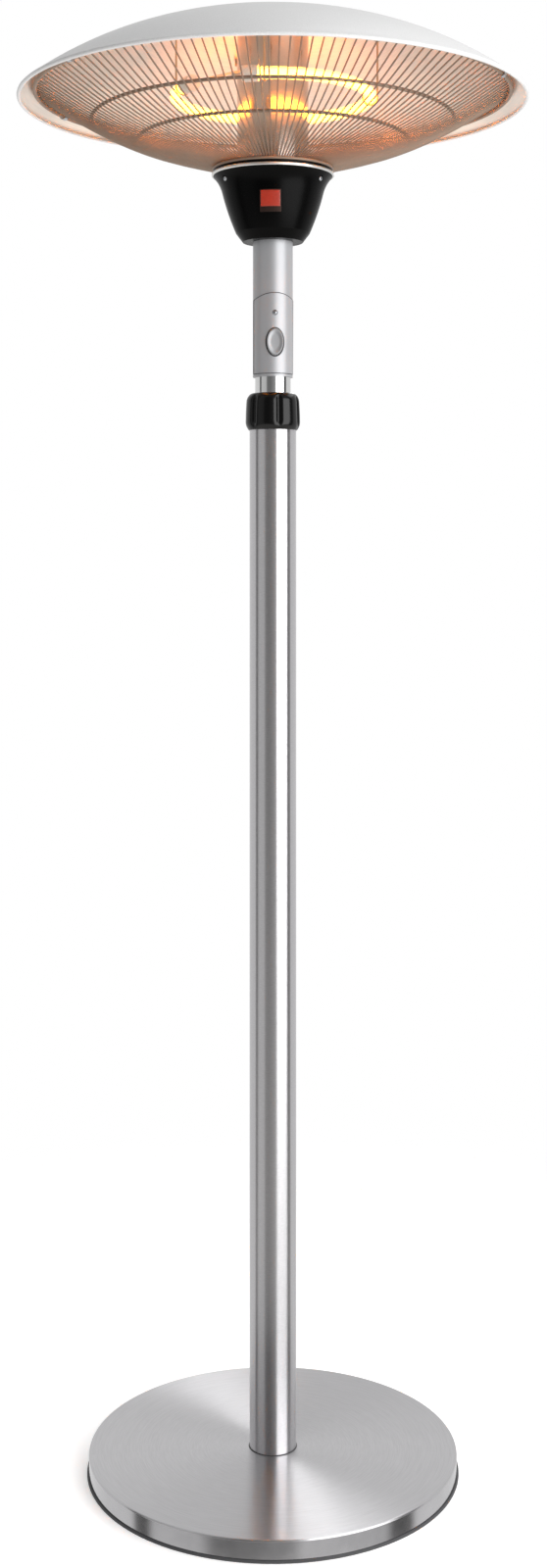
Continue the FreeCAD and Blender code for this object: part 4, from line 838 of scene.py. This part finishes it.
class HEATER_OT_element(bpy.types.Operator):
    """Quartz ring with its coil, caps, hooks and leads"""
    bl_idname = "heater.element"
    bl_label = "Heating element"

    def execute(self, context):
        sizes = context.scene.heater_sizes
        low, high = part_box("element_tube")
        ring = high.x - (high.z - low.z) / 2
        height = (high.z + low.z) / 2
        lit = math.radians(360 - sizes.element_gap)
        start = math.radians(sizes.element_turn + sizes.element_gap / 2 - 90)
        bm = self.coil(sizes, ring, height, start, lit)
        piece(bm, "lit_coil", "head", ["glow"], ["element_filament"], 80)
        # the element hooks' straw-brown tint is painted shade
        dress({"quartz": ["element_tube"], "ceramic": ["element_caps"],
               "straw_painted_shade": ["element_hooks"], "lead_sleeve": ["element_leads"]})
        return {"FINISHED"}

    def coil(self, sizes, ring, height, start, lit):
        """Heating wire wound as a straight coil, then bent round the ring."""
        length = ring * lit
        runs = 10
        turns = sizes.coil_turns // runs
        steps_each_turn = 10
        steps = turns * steps_each_turn
        section = Matrix.Translation((sizes.coil_radius, 0, 0)) @ Matrix.Rotation(math.pi / 2, 4, "X")
        bm = bmesh.new()
        made = bmesh.ops.create_circle(bm, cap_ends=False, radius=sizes.coil_wire, segments=6, matrix=section)
        edges = list({edge for vert in made["verts"] for edge in vert.link_edges})
        bmesh.ops.spin(bm, geom=made["verts"] + edges, cent=(0, 0, 0), axis=UP, angle=FULL_TURN * turns,
                       dvec=(0, 0, length / runs / steps), steps=steps)
        bmesh.ops.spin(bm, geom=bm.verts[:] + bm.edges[:] + bm.faces[:], cent=(0, 0, 0), axis=UP, angle=0,
                       dvec=(0, 0, length / runs), steps=runs - 1, use_duplicate=True)
        bmesh.ops.remove_doubles(bm, verts=bm.verts[:], dist=0.01 * MM)
        bmesh.ops.holes_fill(bm, edges=[edge for edge in bm.edges if edge.is_boundary])
        for vert in bm.verts:
            turn = start + lit * vert.co.z / length
            out = ring + vert.co.x
            vert.co = (out * math.cos(turn), out * math.sin(turn), height + vert.co.y)
        return bm


class HEATER_OT_stage(bpy.types.Operator):
    """Floor, light and camera"""
    bl_idname = "heater.stage"
    bl_label = "Stage"

    def execute(self, context):
        scene = context.scene
        scene.view_settings.view_transform = "Standard"
        floor_mesh = bmesh.new()
        floor_radius = 3
        bmesh.ops.create_circle(floor_mesh, cap_ends=True, radius=floor_radius, segments=96)
        mesh = bpy.data.meshes.new("floor")
        floor_mesh.to_mesh(mesh)
        floor_mesh.free()
        floor = bpy.data.objects.new("floor", mesh)
        scene.collection.objects.link(floor)
        mesh.materials.append(self.floor_finish())
        floor.visible_glossy = False
        self.world(scene)
        self.light(scene, "key softbox", azimuth=40, height=1.25, distance=2.3, size=(2.3, 2.4), power=60)
        self.light(scene, "overhead", azimuth=110, height=3.6, distance=1.5, size=(2.4, 2.4), power=24)
        self.light(scene, "base fan", azimuth=165, height=1.96, distance=1.55, size=(0.4, 0.4), power=2.5,
                   aim_height=0)
        self.camera(scene)
        return {"FINISHED"}

    def floor_finish(self):
        """Matt white floor that fades into the pale surround away from the heater."""
        material, tree, output = new_finish("matt white floor")
        place = node(tree, "ShaderNodeTexCoord").outputs["Object"]
        away = node(tree, "ShaderNodeVectorMath", {0: place}, operation="LENGTH")
        fade = node(tree, "ShaderNodeMapRange",
                    {"Value": away.outputs["Value"], "From Min": 0.35, "From Max": 1.3,
                     "To Min": 1.0, "To Max": 0.0}, interpolation_type="SMOOTHSTEP")
        shader = node(tree, "ShaderNodeBsdfPrincipled", {
            "Base Color": linear("#fafafa"), "Roughness": 0.9, "Alpha": fade.outputs[0],
            "Emission Color": linear("#ffffff"), "Emission Strength": 0.3})
        tree.links.new(shader.outputs[0], output.inputs["Surface"])
        return material

    def world(self, scene):
        """Soft surround: pale behind, grey in front, with dark strips at the sides."""
        world = bpy.data.worlds.new("studio surround")
        scene.world = world
        world.use_nodes = True
        tree = world.node_tree
        tree.nodes.clear()
        output = node(tree, "ShaderNodeOutputWorld")
        way = node(tree, "ShaderNodeTexCoord").outputs["Generated"]
        split = node(tree, "ShaderNodeSeparateXYZ", {"Vector": way})
        back = node(tree, "ShaderNodeMath", {0: split.outputs["Y"], 1: -1.0}, operation="MULTIPLY")
        angle = node(tree, "ShaderNodeMath", {0: split.outputs["X"], 1: back.outputs[0]}, operation="ARCTAN2")
        share = node(tree, "ShaderNodeMapRange",
                     {"Value": angle.outputs[0], "From Min": -math.pi, "From Max": math.pi})
        greys = ((-180, 0.9), (-102, 0.8), (-98, 0.1), (-89, 0.1), (-84, 0.66), (-52, 0.6), (-42, 0.2),
                 (-22, 0.18), (6, 0.36), (12, 0.7), (66, 0.6), (72, 0.12), (86, 0.12), (92, 0.85), (180, 0.9))
        stops = [((degrees + 180) / 360, (grey, grey, grey, 1.0)) for degrees, grey in greys]
        bands = node(tree, "ShaderNodeValToRGB", {"Fac": share.outputs[0]}, stops)
        below = node(tree, "ShaderNodeMapRange",
                     {"Value": split.outputs["Z"], "From Min": -0.45, "From Max": -0.62},
                     interpolation_type="SMOOTHSTEP")
        # inputs 6 and 7 are the two colours of the mix
        ground = node(tree, "ShaderNodeMix",
                      {0: below.outputs[0], 6: bands.outputs[0], 7: (1.3, 1.27, 1.23, 1.0)}, data_type="RGBA")
        surround = node(tree, "ShaderNodeBackground", {"Color": ground.outputs[2], "Strength": 0.9})
        seen = node(tree, "ShaderNodeBackground", {"Color": linear("#ffffff"), "Strength": 1.0})
        ray = node(tree, "ShaderNodeLightPath")
        mixed = node(tree, "ShaderNodeMixShader", {0: ray.outputs["Is Camera Ray"], 1: surround.outputs[0],
                                                   2: seen.outputs[0]})
        tree.links.new(mixed.outputs[0], output.inputs["Surface"])

    def light(self, scene, name, azimuth, height, distance, size, power, aim_height=1.1):
        """Rectangular softbox at an angle from the front, aimed at a height on the heater's axis."""
        data = bpy.data.lights.new(name, "AREA")
        data.shape = "RECTANGLE"
        data.size, data.size_y = size
        data.energy = power
        lamp = bpy.data.objects.new(name, data)
        scene.collection.objects.link(lamp)
        turn = math.radians(azimuth)
        lamp.location = (distance * math.sin(turn), -distance * math.cos(turn), height)
        aim = Vector((0, 0, aim_height)) - lamp.location
        lamp.rotation_euler = aim.to_track_quat("-Z", "Y").to_euler()
        lamp.visible_camera = False

    def camera(self, scene):
        """Level camera, a little to the left of the front."""
        data = bpy.data.cameras.new("camera")
        data.lens = 43.37
        data.sensor_width = 36
        data.shift_x = 0.0004
        data.shift_y = -0.146
        data.clip_end = 200
        distance = 2.2305
        height = 1.0749
        turn = math.radians(-6.5)
        eye = bpy.data.objects.new("camera", data)
        scene.collection.objects.link(eye)
        eye.location = (distance * math.sin(turn), -distance * math.cos(turn), height)
        eye.rotation_euler = (math.pi / 2, 0, turn)
        scene.camera = eye


class HEATER_PT_panel(bpy.types.Panel):
    """Sidebar panel with the heater's pieces"""
    bl_idname = "HEATER_PT_panel"
    bl_label = "Patio heater"
    bl_space_type = "VIEW_3D"
    bl_region_type = "UI"
    bl_category = "Heater"

    def draw(self, context):
        for group in (context.scene.heater_sizes, context.scene.heater_colours):
            for name in group.__annotations__:
                self.layout.prop(group, name)
        for operator in OPERATORS:
            self.layout.operator(operator.bl_idname)


OPERATORS = (HEATER_OT_base, HEATER_OT_poles, HEATER_OT_collar, HEATER_OT_switch, HEATER_OT_neck,
             HEATER_OT_dish, HEATER_OT_grille, HEATER_OT_element, HEATER_OT_stage)
CLASSES = (HeaterSizes, HeaterColours) + OPERATORS + (HEATER_PT_panel,)


def register():
    for made in CLASSES:
        bpy.utils.register_class(made)
    bpy.types.Scene.heater_sizes = bpy.props.PointerProperty(type=HeaterSizes)
    bpy.types.Scene.heater_colours = bpy.props.PointerProperty(type=HeaterColours)


def unregister():
    del bpy.types.Scene.heater_colours
    del bpy.types.Scene.heater_sizes
    for made in reversed(CLASSES):
        bpy.utils.unregister_class(made)


def main():
    register()
    bpy.ops.heater.base()
    bpy.ops.heater.poles()
    bpy.ops.heater.collar()
    bpy.ops.heater.switch()
    bpy.ops.heater.neck()
    bpy.ops.heater.dish()
    bpy.ops.heater.grille()
    bpy.ops.heater.element()
    bpy.ops.heater.stage()


if __name__ == "__main__":
    main()
